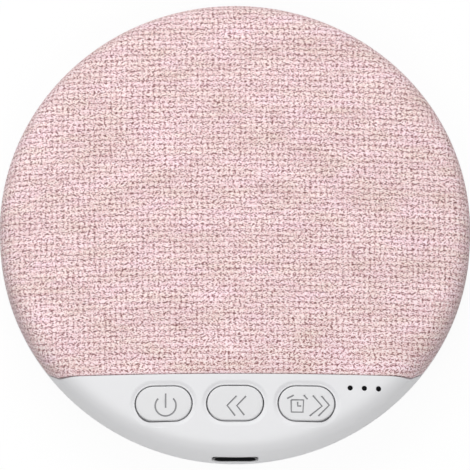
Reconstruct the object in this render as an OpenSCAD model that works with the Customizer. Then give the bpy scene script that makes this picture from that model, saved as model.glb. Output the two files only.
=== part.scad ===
// Pillow speaker: a flat disc that lies on its back, with its crowned front facing +Z.
// The origin is the centre of the flat back, and the controls and the charging port are at -Y.

/* [Body] */
// Outer diameter of the disc
body_d = 95; // [93:0.5:110]
// Height from the flat back to the top of the crown
body_h = 16.5; // [16.2:0.1:19]
// Radius of the crowned front
crown_r = 290; // [260:5:400]
// Rounding of the front edge
front_edge_r = 4; // [3.6:0.1:5]
// Angle of the faint crease between the crown and the front rounding
edge_crease = 6; // [5:0.5:12]
// Rounding of the rear edge, which ends at the parting line
rear_edge_r = 3.6; // [3.2:0.1:3.9]
// Wall of the two moulded shells
wall = 1.8; // [1.5:0.1:2]

/* [Fabric and grille panel] */
// Thickness of the woven cover
fabric_t = 0.8; // [0.5:0.05:1]
// Thickness of the panel that carries the cover
panel_t = 1.2; // [1:0.1:1.5]
// Adhesive layer between cover and panel
glue_t = 0.05; // [0.02:0.01:0.1]
// Width of the control segment, from the rim in to the straight edge of the cover
cover_edge = 15.1; // [14.9:0.1:15.9]
// Angle at which the cover's lower edge turns up at its two ends
cover_corner_turn = 35; // [25:1:38]
// Length of the lower edge that the turned-up ends cut off
cover_corner_run = 1.2; // [1:0.1:2]
// Open seam between the cover and the plastic
seam = 0.2; // [0.1:0.05:0.35]
// Depth of the cover's turned-in straight edge
cover_return = 2.6; // [2:0.1:4]
// Diameter of a sound hole
sound_hole_d = 1.6; // [1:0.1:2]
// Spacing of the sound holes
sound_hole_pitch = 3; // [2.6:0.1:4]
// Length of a snap bump
snap_l = 6; // [4:0.5:8]
// Height of a snap bump
snap_h = 1; // [0.8:0.1:1.4]
// Reach of a snap bump past the panel's skirt
snap_reach = 0.45; // [0.3:0.05:0.6]

/* [Front housing] */
// Thickness of the ring wall inside the panel's skirt
ring_t = 1.5; // [1.2:0.1:2]
// Play between the ring wall and the panel
panel_gap = 0.2; // [0.1:0.05:0.3]
// Height of the ledge that the panel's skirt stands on
ledge_t = 0.5; // [0.4:0.05:0.8]
// Thickness of the baffle that carries the loudspeaker
baffle_t = 1.4; // [1.2:0.1:1.6]
// Thickness of the partition along the cover's straight edge
partition_t = 0.8; // [0.6:0.05:0.9]
// Thickness of the control panel in line with the buttons
deck_t = 2.2; // [1.8:0.1:2.4]
// Plastic between the seam and the buttons
button_land = 1.8; // [1.5:0.1:2]

/* [Buttons] */
// Length of a button
button_l = 11.4; // [10:0.1:11.8]
// Width of a button
button_w = 7.4; // [6.8:0.1:7.6]
// Spacing of the buttons
button_pitch = 14.4; // [14:0.1:15]
// Open gap round a button
button_gap = 0.25; // [0.15:0.05:0.35]
// Height of a button above the panel
button_proud = 0.15; // [0:0.05:0.4]
// Chamfer of a button's top edge
button_chamfer = 0.3; // [0.2:0.05:0.5]
// Width of the retaining flange past the button's side
flange_lip = 0.65; // [0.5:0.05:0.7]
// Thickness of the retaining flange
flange_t = 0.8; // [0.6:0.1:1]
// Play between the flange and the panel
flange_play = 0.15; // [0.1:0.05:0.2]
// Play at the flange's sides
flange_side = 0.2; // [0.15:0.05:0.25]
// Diameter of the post under a button
post_d = 3; // [2.4:0.1:3.4]
// Travel of a button
button_travel = 0.3; // [0.2:0.05:0.35]

/* [Tactile switches] */
// Side of a switch body
switch_w = 4.5; // [4.2:0.1:4.6]
// Shift of the switches from the button row, away from the charging port
switch_shift = 1.2; // [1.1:0.1:1.5]
// Height of a switch body
switch_h = 3.4; // [3:0.1:3.6]
// Diameter of a plunger
plunger_d = 2.6; // [2.2:0.1:2.8]
// Height of a plunger above the switch body
plunger_rise = 0.9; // [0.7:0.1:1.2]
// Depth of a plunger inside the switch body
plunger_depth = 0.8; // [0.6:0.1:1]
// Radial play of a plunger
plunger_gap = 0.1; // [0.05:0.01:0.1]

/* [Indicator lights] */
// Diameter of an indicator hole
indicator_d = 1.1; // [0.8:0.1:1.4]
// Spacing of the indicator holes
indicator_pitch = 2.9; // [2.6:0.1:3.1]
// Distance of the middle hole from the centre line
indicator_x = 26.3; // [25.8:0.1:26.8]
// Rise of the indicator row above the button row
indicator_rise = 3.5; // [3.2:0.1:3.6]
// Depth of a light guide's end below the panel
lens_recess = 0.5; // [0.3:0.1:1]
// Length of a light guide
lens_l = 2.4; // [1.8:0.1:3]
// Radial fit of a light guide in its hole
lens_fit = 0.03; // [0.02:0.01:0.05]
// Distance of the middle diode from the centre line
led_x = 24.4; // [24:0.1:24.8]
// Spacing of the diodes
led_pitch = 2.6; // [2.4:0.1:2.8]
// Length of a light-emitting diode
led_l = 1; // [0.8:0.1:1.2]
// Width of a light-emitting diode
led_w = 0.5; // [0.4:0.1:0.6]
// Height of a light-emitting diode
led_h = 0.4; // [0.3:0.1:0.6]

/* [Charging port] */
// Width of the receptacle
port_w = 8.94; // [8.8:0.02:9.1]
// Height of the receptacle
port_h = 3.26; // [3.1:0.02:3.4]
// Length of the receptacle
port_l = 7.35; // [7:0.05:8]
// Sheet thickness of the receptacle's shell
port_sheet = 0.3; // [0.25:0.01:0.35]
// Clearance of the slot round the receptacle
port_gap = 0.22; // [0.15:0.01:0.25]
// Depth of the receptacle's mouth behind the rim
port_recess = 0.25; // [0.1:0.05:0.6]
// Thickness of the tongue
tongue_t = 0.7; // [0.6:0.05:0.8]
// Width of the tongue
tongue_w = 6.7; // [6.4:0.1:6.8]
// Length of the tongue
tongue_l = 4.5; // [4.2:0.1:4.8]
// Spacing of the contacts
contact_pitch = 0.5; // [0.5:0.01:0.52]

/* [Circuit board] */
// Thickness of the board
board_t = 1; // [0.8:0.1:1.2]
// Height of the board's standoffs
standoff_h = 1.4; // [1.3:0.1:1.7]
// Diameter of a standoff
standoff_d = 4.6; // [4.2:0.1:5]
// Play between the board and the wall
board_gap = 0.7; // [0.5:0.05:0.8]
// Depth of the strip of chips beside the switches
chip_strip = 5.6; // [5.4:0.1:6]
// Side of the audio chip
audio_chip_w = 4.6; // [4:0.1:5]
// Length of the radio module
radio_l = 9; // [8:0.1:10]
// Width of the radio module
radio_w = 4.8; // [4.4:0.1:5]
// Height of the chips
chip_h = 1.2; // [0.8:0.1:1.4]
// Diameter of a post under a switch
prop_d = 3; // [2.4:0.1:3.6]

/* [Battery and leads] */
// Length of the pouch cell
battery_l = 40; // [37:0.5:42]
// Width of the pouch cell
battery_w = 19; // [17:0.5:19.5]
// Thickness of the pouch cell
battery_t = 4.5; // [4:0.1:4.5]
// Thickness of the adhesive pad
battery_pad_t = 0.5; // [0.3:0.05:0.5]
// Distance from the cell to the board
battery_board_gap = 1.7; // [1.6:0.1:2]
// Play round the cell
battery_gap = 0.3; // [0.2:0.05:0.4]
// Thickness of the corner walls
corner_t = 1; // [0.8:0.1:1]
// Height of the corner walls
corner_h = 3; // [2:0.1:3.5]
// Length of a corner wall
corner_l = 5; // [4:0.5:7]
// Distance of the lead connectors from the cell's end
lead_lane = 3.5; // [3.4:0.1:4]
// Diameter of a lead
lead_d = 0.9; // [0.7:0.05:1]
// Spacing of two leads
lead_pitch = 1.5; // [1.3:0.1:1.6]
// Width of a lead connector
socket_w = 5.2; // [5:0.1:5.4]
// Height of a lead connector
socket_h = 2.2; // [2:0.1:2.3]
// Depth of a lead connector
socket_l = 3.5; // [3.2:0.1:3.6]
// Wall of a lead connector
socket_wall = 0.5; // [0.4:0.05:0.6]
// Clearance of a plug in its connector
plug_gap = 0.1; // [0.05:0.01:0.15]

/* [Loudspeaker] */
// Diameter of the loudspeaker
speaker_d = 40; // [38:0.5:42]
// Depth of the loudspeaker
speaker_h = 7.4; // [6.8:0.1:7.6]
// Distance of the loudspeaker from the centre
speaker_y = 14; // [13:0.5:16]
// Depth of the loudspeaker's front face below the crown
speaker_drop = 5.9; // [5.6:0.1:6.1]
// Width of the frame's flange
frame_flange_w = 3.6; // [3.4:0.1:4]
// Thickness of the frame's flange
frame_flange_t = 0.8; // [0.6:0.1:1]
// Wall of the frame
frame_wall = 1.2; // [1:0.1:1.3]
// Gap between the frame and the baffle
frame_gap = 0.6; // [0.4:0.1:0.8]
// Thickness of the gasket
gasket_t = 0.6; // [0.4:0.1:0.8]
// Diameter of the yoke
yoke_d = 21; // [20:0.1:22]
// Height of the yoke
yoke_h = 4; // [3.8:0.1:4.2]
// Thickness of the yoke's wall and base
yoke_t = 1.5; // [1.3:0.1:1.7]
// Gap between the yoke and the frame
yoke_gap = 0.05; // [0.02:0.01:0.1]
// Diameter of the magnet
magnet_d = 13; // [12:0.1:13.2]
// Thickness of the magnet
magnet_t = 1.7; // [1.5:0.1:1.8]
// Diameter of the top plate
top_plate_d = 13.4; // [12.6:0.1:13.6]
// Bore of the voice coil
coil_bore = 14.2; // [14:0.1:14.4]
// Thickness of the voice coil
coil_t = 0.6; // [0.5:0.05:0.65]
// Excursion of the diaphragm each way
excursion = 0.5; // [0.3:0.05:0.5]
// Thickness of the diaphragm
diaphragm_t = 0.4; // [0.3:0.05:0.4]
// Depth of the diaphragm's neck below the front face
neck_depth = 1.2; // [1:0.1:1.3]
// Height of the diaphragm's dome above its neck
dome_h = 1.3; // [0.8:0.1:1.6]
// Radius of the surround's roll
roll_r = 1.3; // [1.1:0.05:1.35]
// Thickness of the surround
roll_t = 0.35; // [0.3:0.05:0.4]
// Width of the surround's glued lips
lip_w = 1; // [0.8:0.1:1.2]

/* [Fasteners] */
// Distance of the case screws from the ring wall
screw_inset = 5.75; // [5.5:0.05:7]
// Angle of the upper case screws
upper_screw_angle = 40; // [35:1:50]
// Angle of the lower case screws
lower_screw_angle = -25; // [-28:1:-15]
// Shank diameter of a case screw
screw_d = 2; // [1.8:0.1:2.2]
// Shank length of a case screw
screw_l = 6; // [4:0.1:6.4]
// Head diameter of a case screw
screw_head_d = 3.8; // [3.4:0.1:4]
// Head height of a case screw
screw_head_h = 1.4; // [1.2:0.1:1.5]
// Radial fit of a screw in its pilot hole
screw_fit = 0.05; // [0.02:0.01:0.1]
// Radial clearance of a screw in a through hole
screw_clearance = 0.2; // [0.15:0.05:0.3]
// Thickness of a screw plug
plug_t = 0.8; // [0.6:0.1:0.9]
// Depth of a plug below the back
plug_recess = 0.1; // [0.05:0.05:0.2]
// Radial play of a plug and a head in the counterbore
counterbore_gap = 0.3; // [0.2:0.05:0.4]
// Diameter of the front housing's bosses
boss_d = 6; // [5:0.1:6.4]
// Diameter of the rear shell's posts
rear_post_d = 7.5; // [7:0.1:8]
// Wall between a screw head and the boss
rear_post_t = 1.8; // [1.5:0.1:2]
// Thickness of the locating lip
lip_t = 1; // [0.8:0.1:1.2]
// Rise of the locating lip above the parting line
lip_h = 1.2; // [0.8:0.1:1.6]
// Play between the locating lip and the ring wall
lip_gap = 0.15; // [0.1:0.05:0.25]
// Shank diameter of a board screw
board_screw_d = 1.7; // [1.4:0.1:1.8]
// Shank length of a board screw
board_screw_l = 2.8; // [2.4:0.1:2.8]
// Head diameter of a board screw
board_screw_head_d = 3.4; // [3:0.1:3.6]
// Head height of a board screw
board_screw_head_h = 1.1; // [0.9:0.1:1.2]

/* [Hidden] */
$fn = 64;
eps = 0.01;
far = body_d;

// Body section: centres of the two edge roundings and of the crown
body_r = body_d / 2;
cover_y = body_r - cover_edge;
front_c = body_r - front_edge_r;
rear_c = body_r - rear_edge_r;
crown_c = body_h - crown_r;
crown_meet = asin(body_r / crown_r) + edge_crease;
meet_r = front_c + front_edge_r * sin(crown_meet);
rim_top = crown_z(meet_r, 0) - front_edge_r * cos(crown_meet);
parting = rear_edge_r;
floor_z = wall;

// Insets of the stacked skins from the outer surface
panel_in = fabric_t + glue_t;
panel_back = panel_in + panel_t;
ring_in = panel_back + panel_gap;
ring_r = body_r - ring_in;
ring_bore = ring_r - ring_t;
return_z = crown_z(0, cover_y) - cover_return;
corner_x = sqrt(pow(body_r, 2) - pow(cover_y, 2)) - cover_corner_run;

// Snap bumps and the windows that they catch in
snap_angles = [-10, 30, 90, 150, 190];
snap_z = parting + ledge_t + 1.5;
snap_play = 0.3;

// Controls
button_row = cover_y + seam + button_land + button_w / 2;
switch_row = button_row - switch_shift;
buttons = [-button_pitch, 0, button_pitch];
deck_z = crown_z(0, button_row) - deck_t;
flange_top = deck_z - flange_play;
flange_bottom = flange_top - flange_t;

// Circuit board and what stands on it
board_bottom = floor_z + standoff_h;
board_top = board_bottom + board_t;
board_r = body_r - wall - board_gap;
board_edge = switch_row - switch_w / 2 - chip_strip;
board_inner_r = ring_bore - board_gap;
plunger_top = board_top + switch_h + plunger_rise;
port_z = board_top + port_h / 2;
port_front = body_r - port_recess;
chip_y = -(board_edge + chip_strip / 2);
indicator_row = button_row - indicator_rise;
indicators = [for (i = [-1:1]) indicator_x + i * indicator_pitch];
led_row = indicator_row + 0.5;

// Battery and lead connectors
battery_z = floor_z + battery_pad_t;
battery_y = -(board_edge - battery_board_gap - battery_w / 2);
connector_x = battery_l / 2 + lead_lane;
connector_y = -(board_edge + 0.5);
board_screw_x = connector_x - 6;
board_screw_y = -(board_edge + 2.2);
plug_w = socket_w - 2 * (socket_wall + plug_gap);
plug_h = socket_h - 2 * (socket_wall + plug_gap);
plug_front = connector_y + 1.5;
lead_z = board_top + socket_h / 2;
lead_bend = 1.7;

// Loudspeaker, whose own heights count from the front face of its flange
speaker_z = body_h - speaker_drop;
frame_bore = speaker_d / 2 - frame_flange_w;
yoke_z = -speaker_h;
yoke_top = yoke_z + yoke_h;
magnet_z = yoke_z + yoke_t;
coil_foot = magnet_z + excursion + 0.4;
neck_r = coil_bore / 2 + coil_t;
roll_c = frame_bore - roll_r + 0.2;
cone_r = roll_c - roll_r + roll_t;
baffle_top = speaker_z - frame_flange_t - gasket_t;
baffle_z = baffle_top - baffle_t;
ring_top = baffle_top + 1;

// Screws
screw_circle = ring_bore - screw_inset;
screw_angles = [upper_screw_angle, 180 - upper_screw_angle, lower_screw_angle, 180 - lower_screw_angle];
counterbore_d = screw_head_d + 2 * counterbore_gap;
head_seat = plug_recess + plug_t + 0.1 + screw_head_h;
post_top = head_seat + rear_post_t;

// Colours
white = "#e6e6e8";
pink = "#e3c7c8";

// Height of the crowned front above the back at a point of the plan
function crown_z(x, y) = crown_c + sqrt(pow(crown_r, 2) - pow(x, 2) - pow(y, 2));

function unit(v) = v / norm(v);

// Height of the front above the back at a point of the plan, at a given depth below the surface
function front_z(x, y, inset) =
    let (r = norm([x, y]))
    r < meet_r
        ? crown_c + sqrt(pow(crown_r - inset, 2) - pow(r, 2))
        : rim_top + sqrt(pow(front_edge_r - inset, 2) - pow(r - front_c, 2));

// Route of straight runs with its corners rounded off
function rounded(p, r, steps) = concat(
    [p[0]],
    [for (i = [1:len(p) - 2], k = [0:steps])
        let (a = r * unit(p[i - 1] - p[i]), b = r * unit(p[i + 1] - p[i]), t = k / steps)
        p[i] + pow(1 - t, 2) * a + pow(t, 2) * b],
    [p[len(p) - 1]]
);

// Round lead swept along a route
module lead(route, sides = 8, steps = 5) {
    path = rounded(route, lead_bend, steps);
    n = len(path);
    points = [for (i = [0:n - 1])
        let (
            t = unit(path[min(i + 1, n - 1)] - path[max(i - 1, 0)]),
            u = unit(cross([0, 0, 1], t)),
            v = cross(t, u)
        )
        for (k = [0:sides - 1])
            path[i] + lead_d / 2 * (cos(360 * k / sides) * u + sin(360 * k / sides) * v)];
    skin = [for (i = [0:n - 2], k = [0:sides - 1])
        let (a = i * sides + k, b = i * sides + (k + 1) % sides)
        each [[a, a + sides, b], [b, a + sides, b + sides]]];
    start_cap = [for (k = [0:sides - 1]) k];
    end_cap = [for (k = [sides - 1:-1:0]) (n - 1) * sides + k];
    polyhedron(points, concat([start_cap, end_cap], skin));
}

// Half section of the disc without its crown, inset by a given depth from its outer surface
module body_section(inset) {
    slope = asin(body_r / crown_r);
    front = [front_c, rim_top] + (front_edge_r - inset) * [sin(slope), cos(slope)];
    polygon([
        [0, inset], [rear_c, inset], [rear_c, parting], [body_r - inset, parting],
        [body_r - inset, rim_top], front, [front.x, body_h + 2], [0, body_h + 2]
    ]);
    translate([rear_c, parting])
        intersection() {
            circle(rear_edge_r - inset);
            translate([0, -far])
                square(far);
        }
    translate([front_c, rim_top])
        intersection() {
            circle(front_edge_r - inset);
            polygon([[0, 0], [far, 0], [far, far], [far * tan(slope), far]]);
        }
}

// Ball whose cap is the crowned front, turned so that its poles lie off the part
module crown(inset) {
    translate([0, 0, crown_c])
        rotate([90, 0, 0])
            sphere(crown_r - inset, $fn = 720);
}

// Disc above a given height, inset by a given depth from its outer surface
module body(inset, z0 = -1) {
    intersection() {
        rotate_extrude()
            band(z0, body_h + 1)
                body_section(inset);
        crown(inset);
    }
}

// Part of a section between two heights
module band(z0, z1) {
    intersection() {
        children();
        translate([-far, z0])
            square([3 * far, z1 - z0]);
    }
}

// Shell of the disc above a given height
module shell(outer, inner, z0) {
    difference() {
        body(outer, z0);
        body(inner);
    }
}

// Plan of the cover's side of the disc, inset from the cover's lower edge
module cover_plan(inset) {
    x = corner_x - inset * tan(cover_corner_turn / 2);
    y = inset - cover_y;
    rise = far * tan(cover_corner_turn);
    polygon([
        [-x, y], [x, y], [x + far, y + rise], [x + far, far + rise],
        [-x - far, far + rise], [-x - far, y + rise]
    ]);
}

module cover_side(inset) {
    translate([0, 0, -1])
        linear_extrude(body_h + 3)
            cover_plan(inset);
}

// Wall along the cover's lower edge, between two insets of its plan
module edge_wall(outer, inner, depth, bottom) {
    intersection() {
        body(depth, bottom);
        difference() {
            cover_side(outer);
            cover_side(inner);
        }
    }
}

// Skin of the cover's side with its turned-in lower edge
module cover_skin(outer, thickness, bottom, edge_bottom) {
    intersection() {
        shell(outer, outer + thickness, bottom);
        cover_side(outer);
    }
    edge_wall(outer, outer + thickness, outer + thickness / 2, edge_bottom);
}

// Outline with two straight sides and round ends
module pill(l, w) {
    square([l - w, w], center = true);
    for (side = [-1, 1])
        translate([side * (l - w) / 2, 0])
            intersection() {
                circle(d = w);
                translate([side < 0 ? -w : 0, -w])
                    square([w, 2 * w]);
            }
}

// Pill that widens at 45 degrees with its height
module pill_flare(l, w, h) {
    translate([-(l - w) / 2, 0, 0])
        rotate([90, 0, 90])
            linear_extrude(l - w)
                polygon([[-w / 2, 0], [w / 2, 0], [w / 2 + h, h], [-w / 2 - h, h]]);
    for (side = [-1, 1])
        translate([side * (l - w) / 2, 0, 0])
            rotate([0, 0, -90 * side])
                rotate_extrude(angle = 180)
                    polygon([[0, 0], [w / 2, 0], [w / 2 + h, h], [0, h]]);
}

// Places its children on the crown above a button, square to the surface
module on_crown(x) {
    translate([x, -button_row, crown_z(x, button_row)])
        rotate([asin(button_row / crown_r), asin(x / crown_r), 0])
            children();
}

// Repeats its children at the case screws
module at_screws() {
    for (a = screw_angles)
        rotate([0, 0, a])
            translate([screw_circle, 0, 0])
                children();
}

// Repeats its children at the board screws
module at_board_screws() {
    for (side = [-1, 1])
        translate([side * board_screw_x, board_screw_y, 0])
            children();
}

// Repeats its children on the axis of the loudspeaker
module at_speaker() {
    translate([0, speaker_y, speaker_z])
        children();
}

// Flat-sided ring segments at the snap bumps
module snaps(r0, r1, l, z0, z1) {
    for (a = snap_angles)
        intersection() {
            difference() {
                cylinder(r = r1, h = z1);
                translate([0, 0, -1])
                    cylinder(r = r0, h = z1 + 2);
            }
            rotate([0, 0, a])
                translate([0, -l / 2, z0])
                    cube([far, l, z1 - z0]);
        }
}

module rear_shell() {
    color(white)
        difference() {
            union() {
                rotate_extrude()
                    difference() {
                        band(-1, parting)
                            body_section(0);
                        body_section(wall);
                    }
                locating_lip();
                at_screws()
                    translate([0, 0, floor_z - eps])
                        cylinder(d = rear_post_d, h = post_top - floor_z + eps);
                at_board_screws()
                    translate([0, 0, floor_z - eps])
                        cylinder(d = standoff_d, h = standoff_h + eps);
                for (x = buttons)
                    translate([x, -switch_row, floor_z - eps])
                        cylinder(d = prop_d, h = standoff_h + eps);
                battery_corners();
            }
            at_screws() {
                translate([0, 0, -1])
                    cylinder(d = counterbore_d, h = head_seat + 1);
                cylinder(d = screw_d + 2 * screw_clearance, h = post_top + 1);
            }
            at_board_screws()
                translate([0, 0, board_top - board_screw_l - 0.1])
                    cylinder(d = board_screw_d + 2 * screw_fit, h = far);
        }
}

// Lip that stands inside the ring wall
module locating_lip() {
    r = ring_bore - lip_gap;
    intersection() {
        difference() {
            cylinder(r = r, h = parting + lip_h);
            translate([0, 0, -1])
                cylinder(r = r - lip_t, h = body_h);
        }
        translate([-far, 4 - board_edge, floor_z - 0.2])
            cube([2 * far, 2 * far, body_h]);
    }
}

// Corner walls that hold the pouch cell
module battery_corners() {
    x = battery_l / 2 + battery_gap;
    y = battery_w / 2 + battery_gap;
    translate([0, battery_y, floor_z - eps])
        linear_extrude(corner_h + eps)
            for (sx = [0, 1], sy = [0, 1])
                mirror([sx, 0])
                    mirror([0, sy])
                        translate([x + corner_t - corner_l, y + corner_t - corner_l])
                            difference() {
                                square(corner_l);
                                translate([-corner_t, -corner_t])
                                    square(corner_l);
                            }
}

module front_housing() {
    color(white)
        difference() {
            union() {
                control_shell();
                edge_wall(-seam - partition_t, -seam, wall / 2, baffle_z);
                ring_wall();
                control_deck();
                at_screws()
                    translate([0, 0, post_top])
                        cylinder(d = boss_d, h = baffle_z + baffle_t / 2 - post_top);
            }
            for (x = buttons)
                translate([x, -button_row, 0]) {
                    linear_extrude(body_h + 1)
                        pill(button_l + 2 * button_gap, button_w + 2 * button_gap);
                    linear_extrude(deck_z)
                        pill(
                            button_l + 2 * (flange_lip + flange_side),
                            button_w + 2 * (flange_lip + flange_side)
                        );
                }
            for (x = indicators)
                translate([x, -indicator_row, 0])
                    cylinder(d = indicator_d, h = body_h + 1);
            translate([0, -(body_r - wall - 1), port_z])
                rotate([90, 0, 0])
                    linear_extrude(wall + 2)
                        pill(port_w + 2 * port_gap, port_h + 2 * port_gap);
            at_speaker()
                translate([0, 0, -far])
                    cylinder(r = frame_bore + frame_wall + frame_gap, h = 2 * far);
            at_screws()
                cylinder(d = screw_d + 2 * screw_fit, h = head_seat + screw_l + 0.3);
            snaps(
                ring_bore - 1, ring_r + 1, snap_l + 2 * snap_play,
                snap_z - snap_play, snap_z + snap_h + snap_play
            );
        }
}

// Outer wall of the control segment
module control_shell() {
    difference() {
        shell(0, wall, parting);
        cover_side(-seam);
    }
}

// Ring wall with its ledge, and the baffle across it
module ring_wall() {
    intersection() {
        rotate_extrude() {
            intersection() {
                band(parting, ring_top)
                    body_section(ring_in);
                translate([ring_bore, 0])
                    square(far);
            }
            translate([ring_bore, parting])
                square([body_r - panel_in - glue_t - ring_bore, ledge_t]);
            translate([0, baffle_z])
                square([ring_bore + ring_t / 2, baffle_t]);
        }
        cover_side(-seam - partition_t / 2);
    }
}

// Flat-backed thickening behind the buttons
module control_deck() {
    margin = flange_lip + 0.75;
    x = button_pitch + button_l / 2 + margin;
    y = button_row + button_w / 2 + margin;
    top = cover_y + seam + partition_t / 2;
    intersection() {
        body(wall / 2, deck_z);
        translate([-x, -y, 0])
            cube([2 * x, y - top, body_h]);
    }
}

module grille_panel() {
    bottom = parting + ledge_t;
    color("#3a3a3c")
        difference() {
            union() {
                cover_skin(panel_in, panel_t, bottom, return_z);
                snaps(
                    body_r - panel_back - snap_reach, body_r - panel_back + panel_t / 2, snap_l,
                    snap_z, snap_z + snap_h
                );
            }
            sound_holes();
        }
}

// Sound holes in a hexagonal pattern in front of the cone
module sound_holes() {
    row_pitch = sound_hole_pitch * sqrt(3) / 2;
    rows = floor(frame_bore / row_pitch);
    for (j = [-rows:rows], i = [-rows - 1:rows + 1]) {
        x = (i + abs(j % 2) / 2) * sound_hole_pitch;
        y = j * row_pitch;
        if (norm([x, y]) < frame_bore - sound_hole_d / 2)
            at_speaker()
                translate([x, y, 0])
                    cylinder(d = sound_hole_d, h = body_h);
    }
}

module fabric_cover() {
    color(pink)
        cover_skin(0, fabric_t, parting + seam, return_z);
}

// Push button: a cap that follows the crown, a retaining flange and a post
module push_button(x) {
    color(white) {
        intersection() {
            translate([x, -button_row, flange_bottom])
                linear_extrude(body_h)
                    pill(button_l, button_w);
            body(-button_proud, 0);
            on_crown(x)
                translate([0, 0, button_proud])
                    mirror([0, 0, 1])
                        pill_flare(
                            button_l - 2 * button_chamfer, button_w - 2 * button_chamfer, body_h / 2
                        );
        }
        translate([x, -button_row, flange_bottom])
            linear_extrude(flange_t)
                pill(button_l + 2 * flange_lip, button_w + 2 * flange_lip);
        translate([x, -switch_row, plunger_top])
            cylinder(d = post_d, h = flange_bottom + eps - plunger_top);
    }
}

module power_button() {
    push_button(buttons[0]);
}

module back_button() {
    push_button(buttons[1]);
}

module timer_button() {
    push_button(buttons[2]);
}

module plunger(x) {
    color("#2b2b2d")
        translate([x, -switch_row, plunger_top - plunger_rise - plunger_depth])
            cylinder(d = plunger_d, h = plunger_rise + plunger_depth);
}

module power_plunger() {
    plunger(buttons[0]);
}

module back_plunger() {
    plunger(buttons[1]);
}

module timer_plunger() {
    plunger(buttons[2]);
}

module switch_bodies() {
    color("#55565a")
        for (x = buttons)
            translate([x, -switch_row, board_top])
                difference() {
                    translate([-switch_w / 2, -switch_w / 2, 0])
                        cube([switch_w, switch_w, switch_h]);
                    translate([0, 0, switch_h - plunger_depth - button_travel - 0.2])
                        cylinder(d = plunger_d + 2 * plunger_gap, h = switch_h);
                }
}

// Short light guides pressed into the indicator holes
module indicator_lens() {
    color("#202024")
        for (x = indicators)
            translate([x, -indicator_row, front_z(x, indicator_row, lens_recess) - lens_l])
                cylinder(d = indicator_d - 2 * lens_fit, h = lens_l);
}

module indicator_leds() {
    color("#f4f2e6")
        for (i = [-1:1])
            translate([led_x + i * led_pitch - led_l / 2, -led_row - led_w / 2, board_top])
                cube([led_l, led_w, led_h]);
}

module main_board() {
    color("#1f5a3a")
        difference() {
            translate([0, 0, board_bottom])
                linear_extrude(board_t)
                    board_plan();
            at_board_screws()
                cylinder(d = board_screw_d + 2 * screw_clearance, h = body_h);
        }
}

// Segment of a disc that narrows where it passes under the ring wall
module board_plan() {
    intersection() {
        circle(board_r);
        translate([-far, -far])
            square([2 * far, far - (cover_y + seam + partition_t + board_gap)]);
    }
    intersection() {
        circle(board_inner_r);
        translate([-far, -far])
            square([2 * far, far - board_edge]);
    }
}

module audio_chip() {
    color("#242426")
        translate([-button_pitch / 2 - audio_chip_w / 2, chip_y - audio_chip_w / 2, board_top])
            cube([audio_chip_w, audio_chip_w, chip_h]);
}

module radio_module() {
    color("#b9bbbd")
        translate([button_pitch / 2 - radio_l / 2, chip_y - radio_w / 2, board_top])
            cube([radio_l, radio_w, chip_h]);
}

// Places the section of the receptacle at its mouth, with its length running inwards
module at_port() {
    translate([0, -port_front, port_z])
        rotate([-90, 0, 0])
            children();
}

module usb_shell() {
    color("#b8bcc0")
        at_port()
            linear_extrude(port_l)
                difference() {
                    pill(port_w, port_h);
                    pill(port_w - 2 * port_sheet, port_h - 2 * port_sheet);
                }
}

// Moulded tongue on a base that closes the receptacle's rear
module usb_tongue() {
    base_l = port_l - tongue_l - 1;
    color("#1c1c1e")
        at_port() {
            translate([0, 0, port_l - base_l])
                linear_extrude(base_l)
                    pill(port_w - 2 * port_sheet, port_h - 2 * port_sheet);
            translate([-tongue_w / 2, -tongue_t / 2, 1])
                cube([tongue_w, tongue_t, tongue_l + eps]);
        }
}

// Contacts on both faces of the tongue
module usb_contacts() {
    contact_t = 0.06;
    contact_w = contact_pitch / 2;
    color("#c9a24a")
        at_port()
            for (side = [-1, 1], i = [-5.5:1:5.5])
                translate([
                    i * contact_pitch - contact_w / 2,
                    side * (tongue_t + contact_t) / 2 - contact_t / 2,
                    1.6
                ])
                    cube([contact_w, contact_t, tongue_l - 0.8]);
}

module battery_cell() {
    edge = battery_t / 2;
    color("#9fa3a8")
        translate([-battery_l / 2, battery_y, battery_z + edge])
            rotate([90, 0, 90])
                linear_extrude(battery_l)
                    pill(battery_w, battery_t);
}

module battery_pad() {
    color("#2e2e30")
        translate([-battery_l / 2 + 2, battery_y - battery_w / 2 + battery_t / 2, floor_z])
            cube([battery_l - 4, battery_w - battery_t, battery_pad_t]);
}

// Connector on the board with its mouth facing +Y
module lead_socket(x) {
    color("#efece0")
        translate([x, connector_y, board_top])
            difference() {
                translate([-socket_w / 2, -socket_l, 0])
                    cube([socket_w, socket_l, socket_h]);
                translate([-socket_w / 2 + socket_wall, -socket_l + socket_wall, socket_wall])
                    cube([socket_w - 2 * socket_wall, socket_l, socket_h - 2 * socket_wall]);
            }
}

// Plug of a pair of leads, pushed home in its connector
module lead_plug(x) {
    length = plug_front - (connector_y - socket_l + socket_wall);
    color("#e4e0d2")
        translate([x - plug_w / 2, plug_front - length, lead_z - plug_h / 2])
            cube([plug_w, length, plug_h]);
}

module battery_socket() {
    lead_socket(-connector_x);
}

module battery_plug() {
    lead_plug(-connector_x);
}

module speaker_socket() {
    lead_socket(connector_x);
}

module speaker_plug() {
    lead_plug(connector_x);
}

// Lead from the end of the cell to its plug
module battery_lead(side) {
    x = -battery_l / 2;
    y = battery_y + side * lead_pitch / 2;
    end_x = -connector_x - side * lead_pitch / 2;
    lead([[x, y, lead_z], [end_x, y, lead_z], [end_x, plug_front, lead_z]]);
}

module battery_lead_red() {
    color("#b02a2a")
        battery_lead(1);
}

module battery_lead_black() {
    color("#1d1d1f")
        battery_lead(-1);
}

// Lead from the loudspeaker's terminals round the cell to its plug
module speaker_lead(side) {
    start = [side * lead_pitch, terminal_front(), terminal_z()];
    lane_y = terminal_front() - 2 - (1 - side) / 2 * lead_pitch;
    end_x = connector_x + side * lead_pitch / 2;
    lead([start, [start.x, lane_y, start.z], [end_x, lane_y, lead_z], [end_x, plug_front, lead_z]]);
}

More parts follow.
